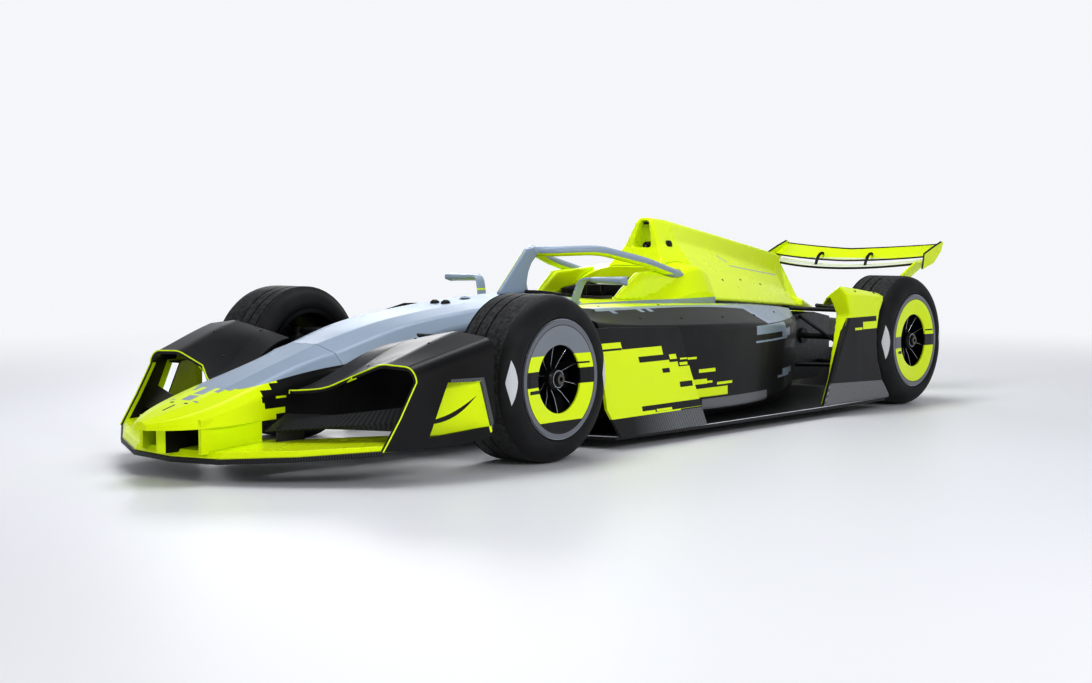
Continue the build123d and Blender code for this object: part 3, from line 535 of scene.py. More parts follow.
def fairing_paint():
    """Black outside with a lime window and a black sweep in it, lime on what faces inboard."""
    paint = Paint("fairing_paint", (0.007, 0.007, 0.0075), roughness=0.36, coat=0.06, gloss=0.22)
    inward = paint.facing_out().below(-0.35)
    window_front = paint.x + (paint.z - 0.167) * (0.102 / 0.202)
    vane_face = inward * paint.side.below(0.851) * window_front.below(2.09)
    vane_face = vane_face * paint.x.above(1.735) * paint.z.within(0.15, 0.385)
    wall_inside = inward * window_front.below(2.03) * paint.side.above(0.7)
    paint.layer(vane_face.either(wall_inside), LIME, 0.26)
    slope_back = (paint.z - 0.191) * (-0.036 / 0.174)
    back = (paint.x + slope_back).above(1.754)
    panel = window_front.below(2.05) * back * paint.z.within(0.166, 0.37) * inward.below(0.5)
    recessed = (paint.side + paint.x * 0.43).below(1.615)
    run = (paint.x * -1.0 + 2.011) * (1 / 0.208)
    top_curve = run.apply("MAXIMUM", 0).apply("POWER", 2.0) * 0.088 + 0.221
    low_curve = run.apply("MAXIMUM", 0).apply("POWER", 2.6) * 0.1 + 0.208
    swoosh = run.within(0, 1) * (top_curve - paint.z).above(0) * (paint.z - low_curve).above(0)
    paint.layer(panel * recessed, LIME, 0.24)
    paint.layer(panel * recessed * swoosh, BLACK, 0.4)
    outer = paint.side.above(0.77) * inward.below(0.5)
    rim_top = paint.z.within(0.367, 0.38) * paint.x.within(1.78, 1.93) * outer
    rim_back = (paint.x + slope_back).within(1.738, 1.7545) * paint.z.within(0.18, 0.38) * outer
    woven(paint, rim_top.either(rim_back), (0.17, 0.178, 0.19), 0.0028)
    paint.layer(lip_of_fairing(paint, 0.02) * inward * paint.z.below(0.38), LIME, 0.25)
    return paint.done()


looks["fairing_paint"] = fairing_paint()
print("front fairings painted")

# %% [markdown]
# ## Wings and rear fairings
# Both wings are lime above. Bare carbon shows under the front one, and the top of the rear one's lower plane
# is painted paler, as a painted reflection of the sky. The rear fairings are lime over black, parted by a
# stepped line.

# %% Wing and rear fairing paint
def wing_paint():
    """Lime above and bare carbon underneath."""
    paint = Paint("wing_paint", LIME, roughness=0.24)
    under = paint.facing_up.below(-0.2)
    woven(paint, under, (0.04, 0.042, 0.046))
    return paint.done()


def rear_wing_paint():
    """Lime, with a paler top on the lower plane as a painted reflection of the sky."""
    paint = Paint("rear_wing_paint", LIME, roughness=0.25)
    # Painted reflection: the upward faces of the lower plane are paler where they would mirror the sky.
    paint.layer(paint.facing_up.above(0.25) * paint.z.below(0.76), (0.75, 0.8, 0.66), 0.3)
    return paint.done()


def rear_fairing_paint():
    """Lime above a stepped line, black below it, carbon at the foot and dark towards the tyre."""
    paint = Paint("rear_fairing_paint", LIME, roughness=0.25, coat=0.12, gloss=0.28)
    outside = paint.side.above(0.822)
    black = paint.z.below(0.489) * outside
    paint.layer(black, BLACK, 0.4)
    block = paint.z.within(0.425, 0.463) * paint.x.within(-1.5, -1.233) * outside
    dash = paint.z.within(0.423, 0.436) * paint.x.within(-1.226, -1.153) * outside
    step = paint.z.within(0.463, 0.489) * paint.x.within(-1.5, -1.371) * outside
    paint.layer(block.either(dash).either(step), LIME, 0.25)
    strip = (paint.z - (paint.x * 0.03 + 0.195)).below(0) * outside
    woven(paint, strip, (0.25, 0.258, 0.27))
    inboard = paint.facing_out().below(-0.2) * paint.z.below(0.6) * paint.side.above(0.8)
    paint.layer(inboard, (0.02, 0.02, 0.022), 0.4)
    return paint.done()


looks["wing_paint"] = wing_paint()
looks["rear_wing_paint"] = rear_wing_paint()
looks["rear_fairing_paint"] = rear_fairing_paint()
print("wings and rear fairings painted")

# %% [markdown]
# ## Engine cover, halo and the small materials
# The cover is plain gloss lime with one thin drawn line that follows the fin. The halo is the same
# satin silver as the nose on top and lime underneath, which is why its paint asks which way the
# surface faces. Rubber, foam, cast alloy and bare carbon finish the list.

# %% Cover, halo and small materials
def cover_paint():
    """Plain lime with one thin line along the fin and down its front edge."""
    paint = Paint("cover_paint", LIME, roughness=0.24)
    along_fin = (paint.z - (paint.x * 0.111 + 0.868)).apply("ABSOLUTE").below(0.003)
    up_front = (paint.z - (paint.x * 0.46 + 1.284)).apply("ABSOLUTE").below(0.004)
    line = (along_fin * paint.x.within(-1.72, -1.14)).either(up_front * paint.x.within(-1.14, -1.06))
    paint.layer(line, (0.45, 0.5, 0.55), 0.3, 0.3)
    return paint.done()


def halo_paint():
    """Silver above, lime on the undersides and along one edge of the pillar."""
    paint = silver_paint("halo_paint")
    underneath = paint.facing_up.below(-0.35) * paint.x.below(0.44)
    underneath = underneath * paint.z.above(0.72) * paint.side.below(0.315)
    pillar_edge = paint.facing_front.above(0.3) * paint.y.within(-0.02, -0.004) * paint.z.within(0.655, 0.84)
    paint.layer(underneath.either(pillar_edge), LIME, 0.26, 0.0)
    return paint.done()


def carbon_paint():
    """Bare carbon in a fine dark twill."""
    paint = Paint("carbon", (0.008, 0.008, 0.009), roughness=0.34, coat=0.12, gloss=0.22)
    paint.layer(paint.twill(), (0.026, 0.027, 0.029), 0.39)
    return paint.done()


def plain_paint(name, color, roughness, metallic=0.0, coat=0.0, grain=0.0006, spots=0.0, gloss=0.35):
    """One even finish, with paler worn spots if asked for."""
    paint = Paint(name, color, roughness=roughness, metallic=metallic, coat=coat, grain=grain, gloss=gloss)
    if spots:
        paler = tuple(channel * 2.2 + 0.01 for channel in color)
        paint.layer(paint.noise(35, 5.0).ramp(0.5, 0.75) * spots, paler, roughness + 0.1)
    return paint.done()


looks["cover_paint"] = cover_paint()
looks["collar_paint"] = plain_paint("collar_paint", LIME, 0.24, coat=0.25)
looks["halo_paint"] = halo_paint()
looks["carbon"] = carbon_paint()
looks["cast_metal"] = plain_paint("cast_metal", (0.11, 0.115, 0.12), 0.42, 0.8, spots=0.3)
looks["dark_steel"] = plain_paint("dark_steel", (0.12, 0.12, 0.125), 0.35, 0.9, spots=0.3)
looks["rim_metal"] = plain_paint("rim_metal", (0.012, 0.012, 0.013), 0.35, 0.2, 0.3)
looks["tyre_rubber"] = plain_paint("tyre_rubber", (0.013, 0.013, 0.014), 0.6, grain=0.0015, spots=0.5)
looks["foam_black"] = plain_paint("foam_black", (0.014, 0.014, 0.015), 0.75, grain=0.001, spots=0.3)
looks["grip_black"] = plain_paint("grip_black", (0.02, 0.02, 0.021), 0.6, grain=0.001, spots=0.3)
looks["lamp_red"] = plain_paint("lamp_red", (0.35, 0.01, 0.012), 0.15, coat=1.0)
print(len(looks), "materials")

# %% [markdown]
# ## Wheel covers
# The covers are flat annular discs whose bands run level across the wheel, so the paint measures
# heights from the hub. Front and rear differ: the front one starts silver at the top and ends black
# at the bottom, and the rear one is a full lime ring with one dark band.

# %% Wheel cover paint
HUB_Z = 0.343
AXLES = {"front": 1.33, "rear": -1.75}


def from_hub(paint, end):
    """Height over the axle at that end of the car, distance ahead of it, and distance from it."""
    rise = paint.z - HUB_Z
    along = paint.x - AXLES[end]
    return rise, along, (rise * rise + along * along).apply("SQRT")


def cover_disc(end):
    """A lime ring with level bands of other colours and a bright rim."""
    paint = Paint("cover_disc_" + end, LIME, roughness=0.26, gloss=0.28)
    rise, along, reach = from_hub(paint, end)
    if end == "front":
        paint.layer(rise.above(0.1), (0.26, 0.28, 0.31), 0.34, 0.5)
        paint.layer(rise.within(-0.024, 0.039), BLACK, 0.35)
        paint.layer(rise.below(-0.17), BLACK, 0.4)
        paint.layer(rise.within(-0.05, -0.036) * along.within(0.13, 0.2), BLACK, 0.4)
        paint.layer(rise.within(0.057, 0.064) * along.within(-0.19, -0.113), BLACK, 0.4)
    else:
        paint.layer(rise.within(-0.033, 0.026), (0.035, 0.036, 0.04), 0.35)
        paint.layer(rise.within(-0.033, 0.026) * along.above(0), (0.16, 0.17, 0.19), 0.35)
        paint.layer(rise.within(-0.064, -0.05) * along.within(0.133, 0.181), BLACK, 0.4)
        paint.layer(rise.within(0.046, 0.053) * along.within(-0.208, -0.136), BLACK, 0.4)
    paint.layer(reach.above(0.2185), (0.2, 0.21, 0.235), 0.3, 0.6)
    paint.layer(reach.within(0.2185, 0.2215), (0.02, 0.02, 0.022), 0.4, 0.0)
    return paint.done()


disc_looks = {end: cover_disc(end) for end in AXLES}
for part in frame["record"]["subparts"]:
    piece = nodes[part["node"]]
    look = looks.get(part["material_slot"])
    if part["material_slot"] == "cover_disc_paint":
        look = disc_looks["front" if "front" in part["node"] else "rear"]
    piece.data.materials.clear()
    piece.data.materials.append(look)
print("materials on", len(nodes), "CAD nodes")

# %% [markdown]
# ## Taking a piece in hand
# A Blender operator works on whatever is selected, so each step starts by letting go of everything
# and taking one piece. These few grips come before every other move: take a piece, open it for
# editing, copy it, join several, work it with one modifier, and close its mesh with its faces outwards.

# %% Grips
MERGE_DISTANCE = 0.00002


def start_clean():
    """Object mode with nothing selected, so that the next operator touches only the new piece."""
    if bpy.context.object and bpy.context.object.mode != "OBJECT":
        bpy.ops.object.mode_set(mode="OBJECT")
    bpy.ops.object.select_all(action="DESELECT")


def take(piece):
    """Object mode with only this piece selected and active."""
    start_clean()
    piece.select_set(True)
    bpy.context.view_layer.objects.active = piece


def edit_all(piece):
    """Edit mode on this piece with all of its mesh selected."""
    take(piece)
    bpy.ops.object.mode_set(mode="EDIT")
    bpy.ops.mesh.select_all(action="SELECT")


def duplicate(piece):
    """A copy with its own mesh, taken in hand."""
    take(piece)
    bpy.ops.object.duplicate(linked=False)
    return bpy.context.object


def join(pieces):
    """Several pieces as one object with one mesh."""
    start_clean()
    for piece in pieces:
        piece.select_set(True)
    bpy.context.view_layer.objects.active = pieces[0]
    bpy.ops.object.join()
    return bpy.context.object


def work(piece, kind, **settings):
    """The piece after one modifier of that kind has been set and applied."""
    take(piece)
    modifier = piece.modifiers.new(kind.lower(), kind)
    for setting, value in settings.items():
        setattr(modifier, setting, value)
    bpy.ops.object.modifier_apply(modifier=modifier.name)
    return piece


def close_mesh(piece):
    """Merges the doubles of a piece still in edit mode and points its faces outwards."""
    if piece.mode == "EDIT":
        bpy.ops.mesh.select_all(action="SELECT")
        bpy.ops.mesh.remove_doubles(threshold=MERGE_DISTANCE)
        bpy.ops.mesh.normals_make_consistent(inside=False)
    start_clean()


print("grips ready")

# %% [markdown]
# ## A small bench of modelling moves
# The new pieces are drawn the way a maker works at the bench: a line is drawn from point to point,
# turned on a lathe, pushed out into a bar, pulled into a band, or given a round section as wire. Each
# of these is a few Blender operators in a row, so they are kept here once and named for what they do.

# %% Bench moves
def draw_line(points, closed=False):
    """A new object in edit mode holding a line through the points, all of it selected."""
    start_clean()
    bpy.ops.mesh.primitive_circle_add(vertices=3, radius=0.001, location=(0, 0, 0))
    bpy.ops.object.mode_set(mode="EDIT")
    bpy.ops.mesh.select_mode(type="VERT")
    bpy.ops.mesh.merge(type="CENTER")
    bpy.ops.transform.translate(value=points[0])
    for start, end in zip(points, points[1:]):
        step = Vector(end) - Vector(start)
        bpy.ops.mesh.extrude_region_move(TRANSFORM_OT_translate={"value": step})
    bpy.ops.mesh.select_all(action="SELECT")
    if closed:
        bpy.ops.mesh.edge_face_add()
    return bpy.context.object


def turn(profile, center, axis=(0, 1, 0), steps=96):
    """A lathe: a closed profile of points is spun once round the axis through the center."""
    piece = draw_line([*profile, profile[0]])
    bpy.ops.mesh.spin(steps=steps, angle=2 * math.pi, center=center, axis=axis, use_auto_merge=True)
    return piece


def bar(outline, push):
    """A closed outline of points pushed out along a vector."""
    piece = draw_line(outline, closed=True)
    bpy.ops.mesh.extrude_region_move(TRANSFORM_OT_translate={"value": push})
    return piece


def band(points, pull, thickness):
    """A line pulled along a vector into a band, then thickened to both sides."""
    piece = draw_line(points)
    bpy.ops.mesh.extrude_region_move(TRANSFORM_OT_translate={"value": pull})
    return work(piece, "SOLIDIFY", thickness=thickness, offset=0)


def round_section(piece, radius, sides):
    """Gives every edge of a bare line a round section, as a mesh."""
    take(piece)
    bpy.ops.object.convert(target="CURVE")
    line = bpy.context.object.data
    line.bevel_depth = radius
    line.bevel_resolution = sides
    line.use_fill_caps = True
    bpy.ops.object.convert(target="MESH")
    return bpy.context.object


def wire(points, radius, sides=3):
    """A line of points given a round section."""
    piece = draw_line(points)
    bpy.ops.mesh.remove_doubles(threshold=MERGE_DISTANCE)
    return round_section(piece, radius, sides)


def soften(piece, width, segments=2, angle=40):
    """Rounds the edges that are sharper than the angle."""
    close_mesh(piece)
    return work(piece, "BEVEL", width=width, segments=segments, limit_method="ANGLE",
                angle_limit=math.radians(angle))


print("bench ready")

# %% [markdown]
# ## Mounting a piece
# A finished piece is cleaned, smoothed up to a crease angle, painted, and mounted on the body that
# carries it, so that it moves with that body. The car is the same on both sides, so most pieces are
# made for the left and mirrored: a mirrored mesh is inside out, which is why its faces are flipped.

# %% Mounting
def finish_piece(piece, name, look, body="chassis", crease=35):
    """Cleans, smooths, paints and names a piece, and mounts it on its body."""
    close_mesh(piece)
    take(piece)
    bpy.ops.object.transform_apply(location=True, rotation=True, scale=True)
    bpy.ops.object.shade_smooth_by_angle(angle=math.radians(crease))
    piece.name = name
    piece.data.name = name
    piece.data.materials.clear()
    piece.data.materials.append(look)
    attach(piece, body)
    return piece


def copy_of(piece, shift=(0, 0, 0), flip=False):
    """A copy moved by a vector and, if flipped, mirrored about the car's middle plane."""
    copy = duplicate(piece)
    edit_all(copy)
    bpy.ops.transform.translate(value=shift)
    if flip:
        bpy.ops.transform.resize(value=(1, -1, 1), center_override=(0, 0, 0))
        bpy.ops.mesh.flip_normals()
    start_clean()
    return copy


def finish_pair(piece, name, look, body="chassis", crease=35):
    """Finishes a piece of the left side and its mirrored twin."""
    left = finish_piece(piece, name + "_left", look, body, crease)
    right = finish_piece(copy_of(left, flip=True), name + "_right", look, body, crease)
    return left, right


print("ready to mount")

# %% [markdown]
# ## Tyres
# A racing road tyre is moulded round its bead, sidewall and shoulder, with a few straight grooves cut
# round the inboard half of the tread. It is a turned form, so its section is drawn once from bead to
# bead and spun round the hub, with each groove as three short steps in the line. The four tyres are
# copies of one.

# %% Tyres
HALF_WIDTH = cad_box[1][1]
TYRE_RADIUS = 0.343
TYRE_INNER = HALF_WIDTH - 0.308
GROOVES = (0.606, 0.660, 0.714)
GROOVE_HALF = 0.0042
GROOVE_DEPTH = 0.007
# Rows: distance in from the sidewall's widest plane, radius
SIDEWALL = [
    (0.0135, 0.2308), (0.0128, 0.2445), (0.006, 0.2485), (0.0018, 0.256), (0.0, 0.268), (0.0008, 0.2695),
    (0.0, 0.271), (0.001, 0.284), (0.004, 0.2965), (0.0095, 0.308), (0.0175, 0.3185), (0.0275, 0.3275),
    (0.039, 0.3345), (0.052, 0.339), (0.068, 0.3418), (0.09, 0.343),
]


def wheel_point(inset, radius, axle_x):
    """A point of the wheel's section, above the axle, that far in from the car's widest plane."""
    return (axle_x, HALF_WIDTH - inset, HUB_Z + radius)


def tyre_section(axle_x):
    """The closed outline of a left tyre: outer wall, grooved tread, inner wall."""
    width = HALF_WIDTH - TYRE_INNER
    outer = [wheel_point(inset, radius, axle_x) for inset, radius in SIDEWALL]
    inner = [wheel_point(width - inset, radius, axle_x) for inset, radius in reversed(SIDEWALL)]
    tread = []
    foot = GROOVE_HALF * 0.8
    groove = [(-GROOVE_HALF, 0), (-foot, GROOVE_DEPTH), (foot, GROOVE_DEPTH), (GROOVE_HALF, 0)]
    for groove_y in reversed(GROOVES):
        inset = HALF_WIDTH - groove_y
        tread += [wheel_point(inset + offset, TYRE_RADIUS - depth, axle_x) for offset, depth in groove]
    kept = [point for point in inner if point[1] < GROOVES[0] - GROOVE_HALF - 0.001]
    return outer + tread + kept


def tyre_paint(end):
    """Dark rubber with a dusty tread made paler as a painted highlight, and a pale pointed patch on the
    sidewall at each side of the hub.
    """
    paint = Paint("tyre_" + end, (0.012, 0.012, 0.0128), roughness=0.55, coat=0.0, grain=0.0012, gloss=0.24)
    rise, along, reach = from_hub(paint, end)
    # Dust on the tread, made paler and wider than dust alone: partly real dust, partly a painted highlight of
    # the overhead soft box.
    paint.layer(reach.above(0.3395) * paint.noise(60, 5.0).ramp(0.35, 0.7) * 0.75, (0.07, 0.071, 0.073), 0.62)
    paint.layer(reach.below(0.336) * paint.noise(9, 3.0).ramp(0.4, 0.7) * 0.35, (0.028, 0.028, 0.03), 0.5)
    lift = (rise - 0.005) * (1 / 0.09)
    swell = (lift.apply("ABSOLUTE").apply("POWER", 1.35) * -1.0 + 1.0) * 0.024
    patch = (along.apply("ABSOLUTE") - 0.302).apply("ABSOLUTE")
    paint.layer((swell - patch).above(0) * paint.side.above(0.82), (0.62, 0.63, 0.65), 0.45)
    return paint.done()


FRONT_X = AXLES["front"]
OTHER_CORNERS = (("front", "right"), ("rear", "left"), ("rear", "right"))


def to_the_corners(first, name, looks_by_end, replaced=None, crease=35):
    """Mounts a piece of the front left wheel, and a copy of it on each of the other three."""
    finish_piece(first, name + "_front_left", looks_by_end["front"], "wheel_front_left", crease)
    if replaced:
        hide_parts(replaced + "_front_left")
    for end, side in OTHER_CORNERS:
        copy = copy_of(first, (AXLES[end] - FRONT_X, 0, 0), flip=side == "right")
        finish_piece(copy, f"{name}_{end}_{side}", looks_by_end[end], f"wheel_{end}_{side}", crease)
        if replaced:
            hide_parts(f"{replaced}_{end}_{side}")
    return len(first.data.polygons)


tyre_looks = {end: tyre_paint(end) for end in AXLES}
first_tyre = turn(tyre_section(FRONT_X), (FRONT_X, 0, HUB_Z), steps=128)
faces = to_the_corners(first_tyre, "grooved_tyre", tyre_looks, "tyre", crease=32)
print("4 tyres,", faces, "faces each")

# %% [markdown]
# ## Wheels
# Behind the flat cover ring each wheel is a deep black barrel with a bright machined lip, a protruding
# hub with its single nut, and thin blades that lean and curl like a fan's. The barrel and the hub are
# turned. One blade is drawn as a curled line and pulled into a thick strip, and ten go round the hub.

# %% Wheels
LIP_RADIUS = 0.2455
BLADES = 10
# Rows: radius, distance in from the widest plane, lean
BLADE = [
    (0.041, 0.058, 0.0), (0.08, 0.046, 0.010), (0.13, 0.034, 0.013), (0.175, 0.024, 0.007),
    (0.2185, 0.017, -0.008),
]
BRIGHT = (0.34, 0.36, 0.4)


def wheel_look(end):
    """Black wheel metal whose lip and blade edges are bright."""
    black = (0.006, 0.006, 0.007)
    paint = Paint("wheel_metal_" + end, black, roughness=0.32, metallic=0.3, coat=0.1, gloss=0.22)
    reach = from_hub(paint, end)[2]
    paint.layer(reach.above(0.2215) * paint.side.above(0.845), BRIGHT, 0.24, 0.9)
    paint.layer(reach.within(0.0325, 0.0365) * paint.side.above(0.8), BRIGHT, 0.2, 0.9)
    paint.layer(reach.below(0.0245) * paint.side.above(0.862), (0.12, 0.115, 0.1), 0.25, 0.9)
    paint.layer(reach.within(0.15, 0.2) * paint.side.below(0.76), (0.05, 0.05, 0.052), 0.35, 0.6)
    return paint.done()


def barrel_section(axle_x):
    """The closed outline of the barrel, from the outer lip round to the inner one and back."""
    rows = [
        (0.004, 0.2215), (0.0, 0.2245), (0.0, LIP_RADIUS), (0.006, LIP_RADIUS + 0.0005), (0.012, 0.2402),
        (0.0135, 0.2304), (0.2945, 0.2304), (0.296, 0.2402), (0.302, LIP_RADIUS), (0.308, LIP_RADIUS),
        (0.308, 0.226), (0.296, 0.219), (0.05, 0.2165), (0.022, 0.2195),
    ]
    return [wheel_point(0.0045 + inset * 0.985, radius, axle_x) for inset, radius in rows]


def hub_section(axle_x):
    """The closed outline of hub, nut and brake disc about the axle."""
    rows = [
        (0.172, 0.026), (0.172, 0.148), (0.142, 0.148), (0.142, 0.066), (0.1, 0.05), (0.055, 0.044),
        (0.03, 0.043), (0.024, 0.0365), (0.014, 0.0365), (0.012, 0.0245), (0.0005, 0.0225), (0.0005, 0.010),
        (0.009, 0.0085), (0.09, 0.0085), (0.101, 0.0255),
    ]
    return [wheel_point(inset + 0.0015, radius, axle_x) for inset, radius in rows]


def blade_line(axle_x, forward=0.0):
    """The curled front edge of the upright blade, from the hub to the barrel."""
    return [(axle_x + curl, HALF_WIDTH - inset + forward, HUB_Z + radius) for radius, inset, curl in BLADE]


def fan(first, axle_x, count=BLADES):
    """Copies of one piece turned evenly round the hub, all joined."""
    ring = [first]
    for number in range(1, count):
        copy = duplicate(first)
        edit_all(copy)
        angle = number * 2 * math.pi / count
        bpy.ops.transform.rotate(value=angle, orient_axis="Y", center_override=(axle_x, 0, HUB_Z))
        start_clean()
        ring.append(copy)
    return join(ring)


wheel_looks = {end: wheel_look(end) for end in AXLES}
bright_edge = plain_paint("bright_edge", (0.5, 0.52, 0.56), 0.25, 0.9)
hub_center = (FRONT_X, 0, HUB_Z)
barrel = turn(barrel_section(FRONT_X), hub_center)
faces = to_the_corners(barrel, "wheel_barrel", wheel_looks, "rim")
hub = turn(hub_section(FRONT_X), hub_center, steps=48)
faces += to_the_corners(hub, "wheel_hub", wheel_looks)
blades = fan(band(blade_line(FRONT_X), (0.015, -0.036, 0), 0.0048), FRONT_X)
faces += to_the_corners(blades, "wheel_blades", wheel_looks)
edges = fan(wire(blade_line(FRONT_X, 0.0005), 0.0021, sides=1), FRONT_X)
edge_looks = {end: bright_edge for end in AXLES}
faces += to_the_corners(edges, "blade_edges", edge_looks, crease=60)
print("4 wheels of", faces, "faces each")

# %% [markdown]
# ## Edge lines of the front fairings
# The mouth of each front fairing is finished with a thin lime bead along its outer edge. The bead has
# to follow the moulding exactly, so it isn't drawn freehand: the sharp edges round the mouth are
# picked out on a copy of the panel, everything else is deleted, and the line gets a round section.

# %% Beads along the fairing mouths
CAD_MERGE = 0.0001
SHARP = math.radians(40)


def traced_edges(node, wanted, radius):
    """A round bead laid along those sharp edges of a CAD part that `wanted` accepts."""
    piece = duplicate(node)
    edit_all(piece)
    bpy.ops.mesh.remove_doubles(threshold=CAD_MERGE)
    bpy.ops.mesh.select_mode(type="EDGE")
    bpy.ops.mesh.select_all(action="DESELECT")
    drawing = bmesh.from_edit_mesh(piece.data)
    for edge in drawing.edges:
        sharp = len(edge.link_faces) == 2 and edge.calc_face_angle(0) > SHARP
        edge.select_set(sharp and wanted(edge))
    bmesh.update_edit_mesh(piece.data)
    bpy.ops.mesh.select_all(action="INVERT")
    bpy.ops.mesh.delete(type="EDGE")
    bpy.ops.mesh.select_mode(type="VERT")
    bpy.ops.mesh.select_all(action="SELECT")
    bpy.ops.mesh.delete_loose(use_verts=True, use_edges=False, use_faces=False)
    return round_section(piece, radius, sides=2)


def round_the_mouth(edge):
    """True for a mouth's outer edge: one face looks forward, the other away from the tunnel."""
    middle = (edge.verts[0].co + edge.verts[1].co) / 2
    across = Vector((0, middle.y - math.copysign(0.5, middle.y), middle.z - 0.2))
    forward = max(face.normal.x for face in edge.link_faces)
    outward = max(face.normal.dot(across.normalized()) for face in edge.link_faces)
    at_roof = middle.x > 2.06 and middle.z > 0.3
    at_wall = abs(middle.y) > 0.72 and middle.x > 2.06 and middle.z > 0.13
    return forward > 0.45 and outward > 0.4 and (at_roof or at_wall)


lime_line = plain_paint("lime_line", LIME, 0.25, coat=0.1)
for side in ("left", "right"):
    bead = traced_edges(nodes["front_fairing_" + side], round_the_mouth, 0.0032)
    finish_piece(bead, "fairing_bead_" + side, lime_line, crease=70)
    print("bead", side, "faces:", len(bead.data.polygons))

# %% [markdown]
# ## The rubbing lip under the front wing
# A replaceable ribbed carbon strip hangs under the wing's leading edge and takes the knocks. It is a
# straight-sided band along the wing's plan, so its line is drawn once from tip to tip, pulled up into
# a band and given thickness.

# %% Rubbing lip
# Rows of the left half: y, leading x, underside z
WING_EDGE = [(0.748, 2.255, 0.126), (0.5, 2.458, 0.104), (0.242, 2.604, 0.090), (0, 2.632, 0.086)]
LIP_BACK = 0.006
LIP_DROP = 0.014


def ribbed_paint():
    """Carbon with fine upright ribs across the car."""
    paint = Paint("ribbed_carbon", (0.006, 0.006, 0.007), roughness=0.45, coat=0.0, gloss=0.25)
    rib = (paint.y * 125).apply("FRACT").below(0.45)
    paint.layer(rib, (0.05, 0.052, 0.056), 0.35)
    return paint.done()


left_half = [(x - LIP_BACK, y, z - LIP_DROP) for y, x, z in WING_EDGE]
right_half = [(x, -y, z) for x, y, z in left_half]
lip = band(right_half + left_half[-2::-1], (0.003, 0, 0.0185), 0.007)
finish_piece(soften(lip, 0.0018), "front_wing_lip", ribbed_paint())
print("lip", [round(v, 3) for v in lip.dimensions])

# %% [markdown]
# ## Rear wing trims
# Both elements of the rear wing carry a black gurney strip along their edges, two hooked brackets hold
# the slot gap open, and the end plates have a black rim. The edges are gentle curves across the car,
# so a parabola through three measured places gives as many points as a smooth line needs.

# %% Rear wing trims
WING_REAR = cad_box[0][0]


def across(rows, tip, count=16):
    """Points of an edge from tip to tip that curves through three places of the left half."""
    (y0, x0, z0), (y1, x1, z1), (y2, x2, z2) = rows
    points = []
    for y in [tip * (2 * i / count - 1) for i in range(count + 1)]:
        s = abs(y)
        a = (s - y1) * (s - y2) / ((y0 - y1) * (y0 - y2))
        b = (s - y0) * (s - y2) / ((y1 - y0) * (y1 - y2))
        c = (s - y0) * (s - y1) / ((y2 - y0) * (y2 - y1))
        points.append((WING_REAR + a * x0 + b * x1 + c * x2, y, a * z0 + b * z1 + c * z2))
    return points


black_trim = plain_paint("black_trim", (0.006, 0.006, 0.007), 0.4, coat=0.0, gloss=0.25)
# Rows: three places as y, x ahead of the wing's rear edge and z; then the tip's y and the radius
EDGE_ROWS = {
    "flap_front": ([(0, 0.222, 0.7425), (0.26, 0.196, 0.7525), (0.52, 0.146, 0.7745)], 0.518, 0.0042),
    "flap_rear": ([(0, 0.155, 0.812), (0.26, 0.093, 0.824), (0.52, 0.007, 0.842)], 0.518, 0.0045),
    "plane_front": ([(0, 0.320, 0.7), (0.21, 0.304, 0.706), (0.468, 0.232, 0.730)], 0.466, 0.006),
    "plane_rear": ([(0, 0.236, 0.717), (0.21, 0.21, 0.725), (0.468, 0.152, 0.753)], 0.466, 0.0026),
}
for name, (rows, tip, radius) in EDGE_ROWS.items():
    strip = wire(across(rows, tip), radius, sides=2)
    look = lime_line if name == "plane_rear" else black_trim
    finish_piece(strip, "wing_edge_" + name, look, crease=70)


def hook(y):
    """A hooked bracket from the lower plane's nose up and over the flap."""
    outline = [
        (-2.478, 0.712), (-2.492, 0.745), (-2.512, 0.772), (-2.54, 0.79), (-2.566, 0.795), (-2.585, 0.788),
        (-2.582, 0.774), (-2.56, 0.779), (-2.538, 0.772), (-2.522, 0.756), (-2.506, 0.733), (-2.498, 0.712),
    ]
    return bar([(x, y - 0.005, z) for x, z in outline], (0, 0.01, 0))


ENDPLATE_Y = 0.524
ENDPLATE_EDGE = [(-2.512, 0.702), (-2.533, 0.789), (-2.64, 0.825), (-2.745, 0.856)]
finish_pair(soften(hook(0.165), 0.0016), "wing_hook", black_trim)
rim = wire([(x, ENDPLATE_Y, z) for x, z in ENDPLATE_EDGE], 0.0052, sides=2)
finish_pair(rim, "endplate_rim", black_trim, crease=70)
print("rear wing:", len(EDGE_ROWS), "edge strips, 2 hooks, 2 rims")

# %% [markdown]
# ## Small things on the survival cell and the hoop
# Two low pressure sensors sit side by side on the nose deck, a smaller bump follows them, a camera
# looks out of the air inlet, and black buttons are painted shade for the round holes at the lifting
# points of the hoop. All of them are turned parts, so one lathe move makes each.

# %% Sensors, camera and lifting points
SUNK = 0.006
INLET_X = -0.52
INLET_Z = 0.852
# Rows: x, height over the inlet's axis
CAMERA_BODY = [(-0.5, 0.0), (-0.492, 0.016), (-0.497, 0.0235), (-0.56, 0.026), (-0.56, 0.0)]
CAMERA_LENS_RING = [(-0.4985, 0.0005), (-0.4895, 0.0005), (-0.488, 0.01), (-0.4985, 0.012)]
SLOT_FACE = [
    (-0.489, -0.017, 0.963), (-0.489, 0.017, 0.963), (-0.493, 0.014, 0.9745), (-0.493, -0.014, 0.9745),
]


def dome(center, radius, height):
    """A low turned cap whose foot is a little sunk in."""
    x, y, z = center
    crown = [(0, 1), (0.45, 0.94), (0.8, 0.62), (0.97, 0.2)]
    profile = [(x + radius * out, y, z + height * up) for out, up in crown]
    profile += [(x + radius, y, z - SUNK), (x, y, z - SUNK)]
    return turn(profile, center, (0, 0, 1), steps=32)


def disc_on_side(center, radius, depth):
    """A shallow turned button on the left side, its face outwards."""
    x, y, z = center
    back = y - 2 * SUNK
    profile = [(x, y + depth, z), (x, y + depth, z + radius * 0.8), (x, y + depth * 0.6, z + radius),
               (x, back, z + radius), (x, back, z)]
    return turn(profile, center, (0, 1, 0), steps=32)


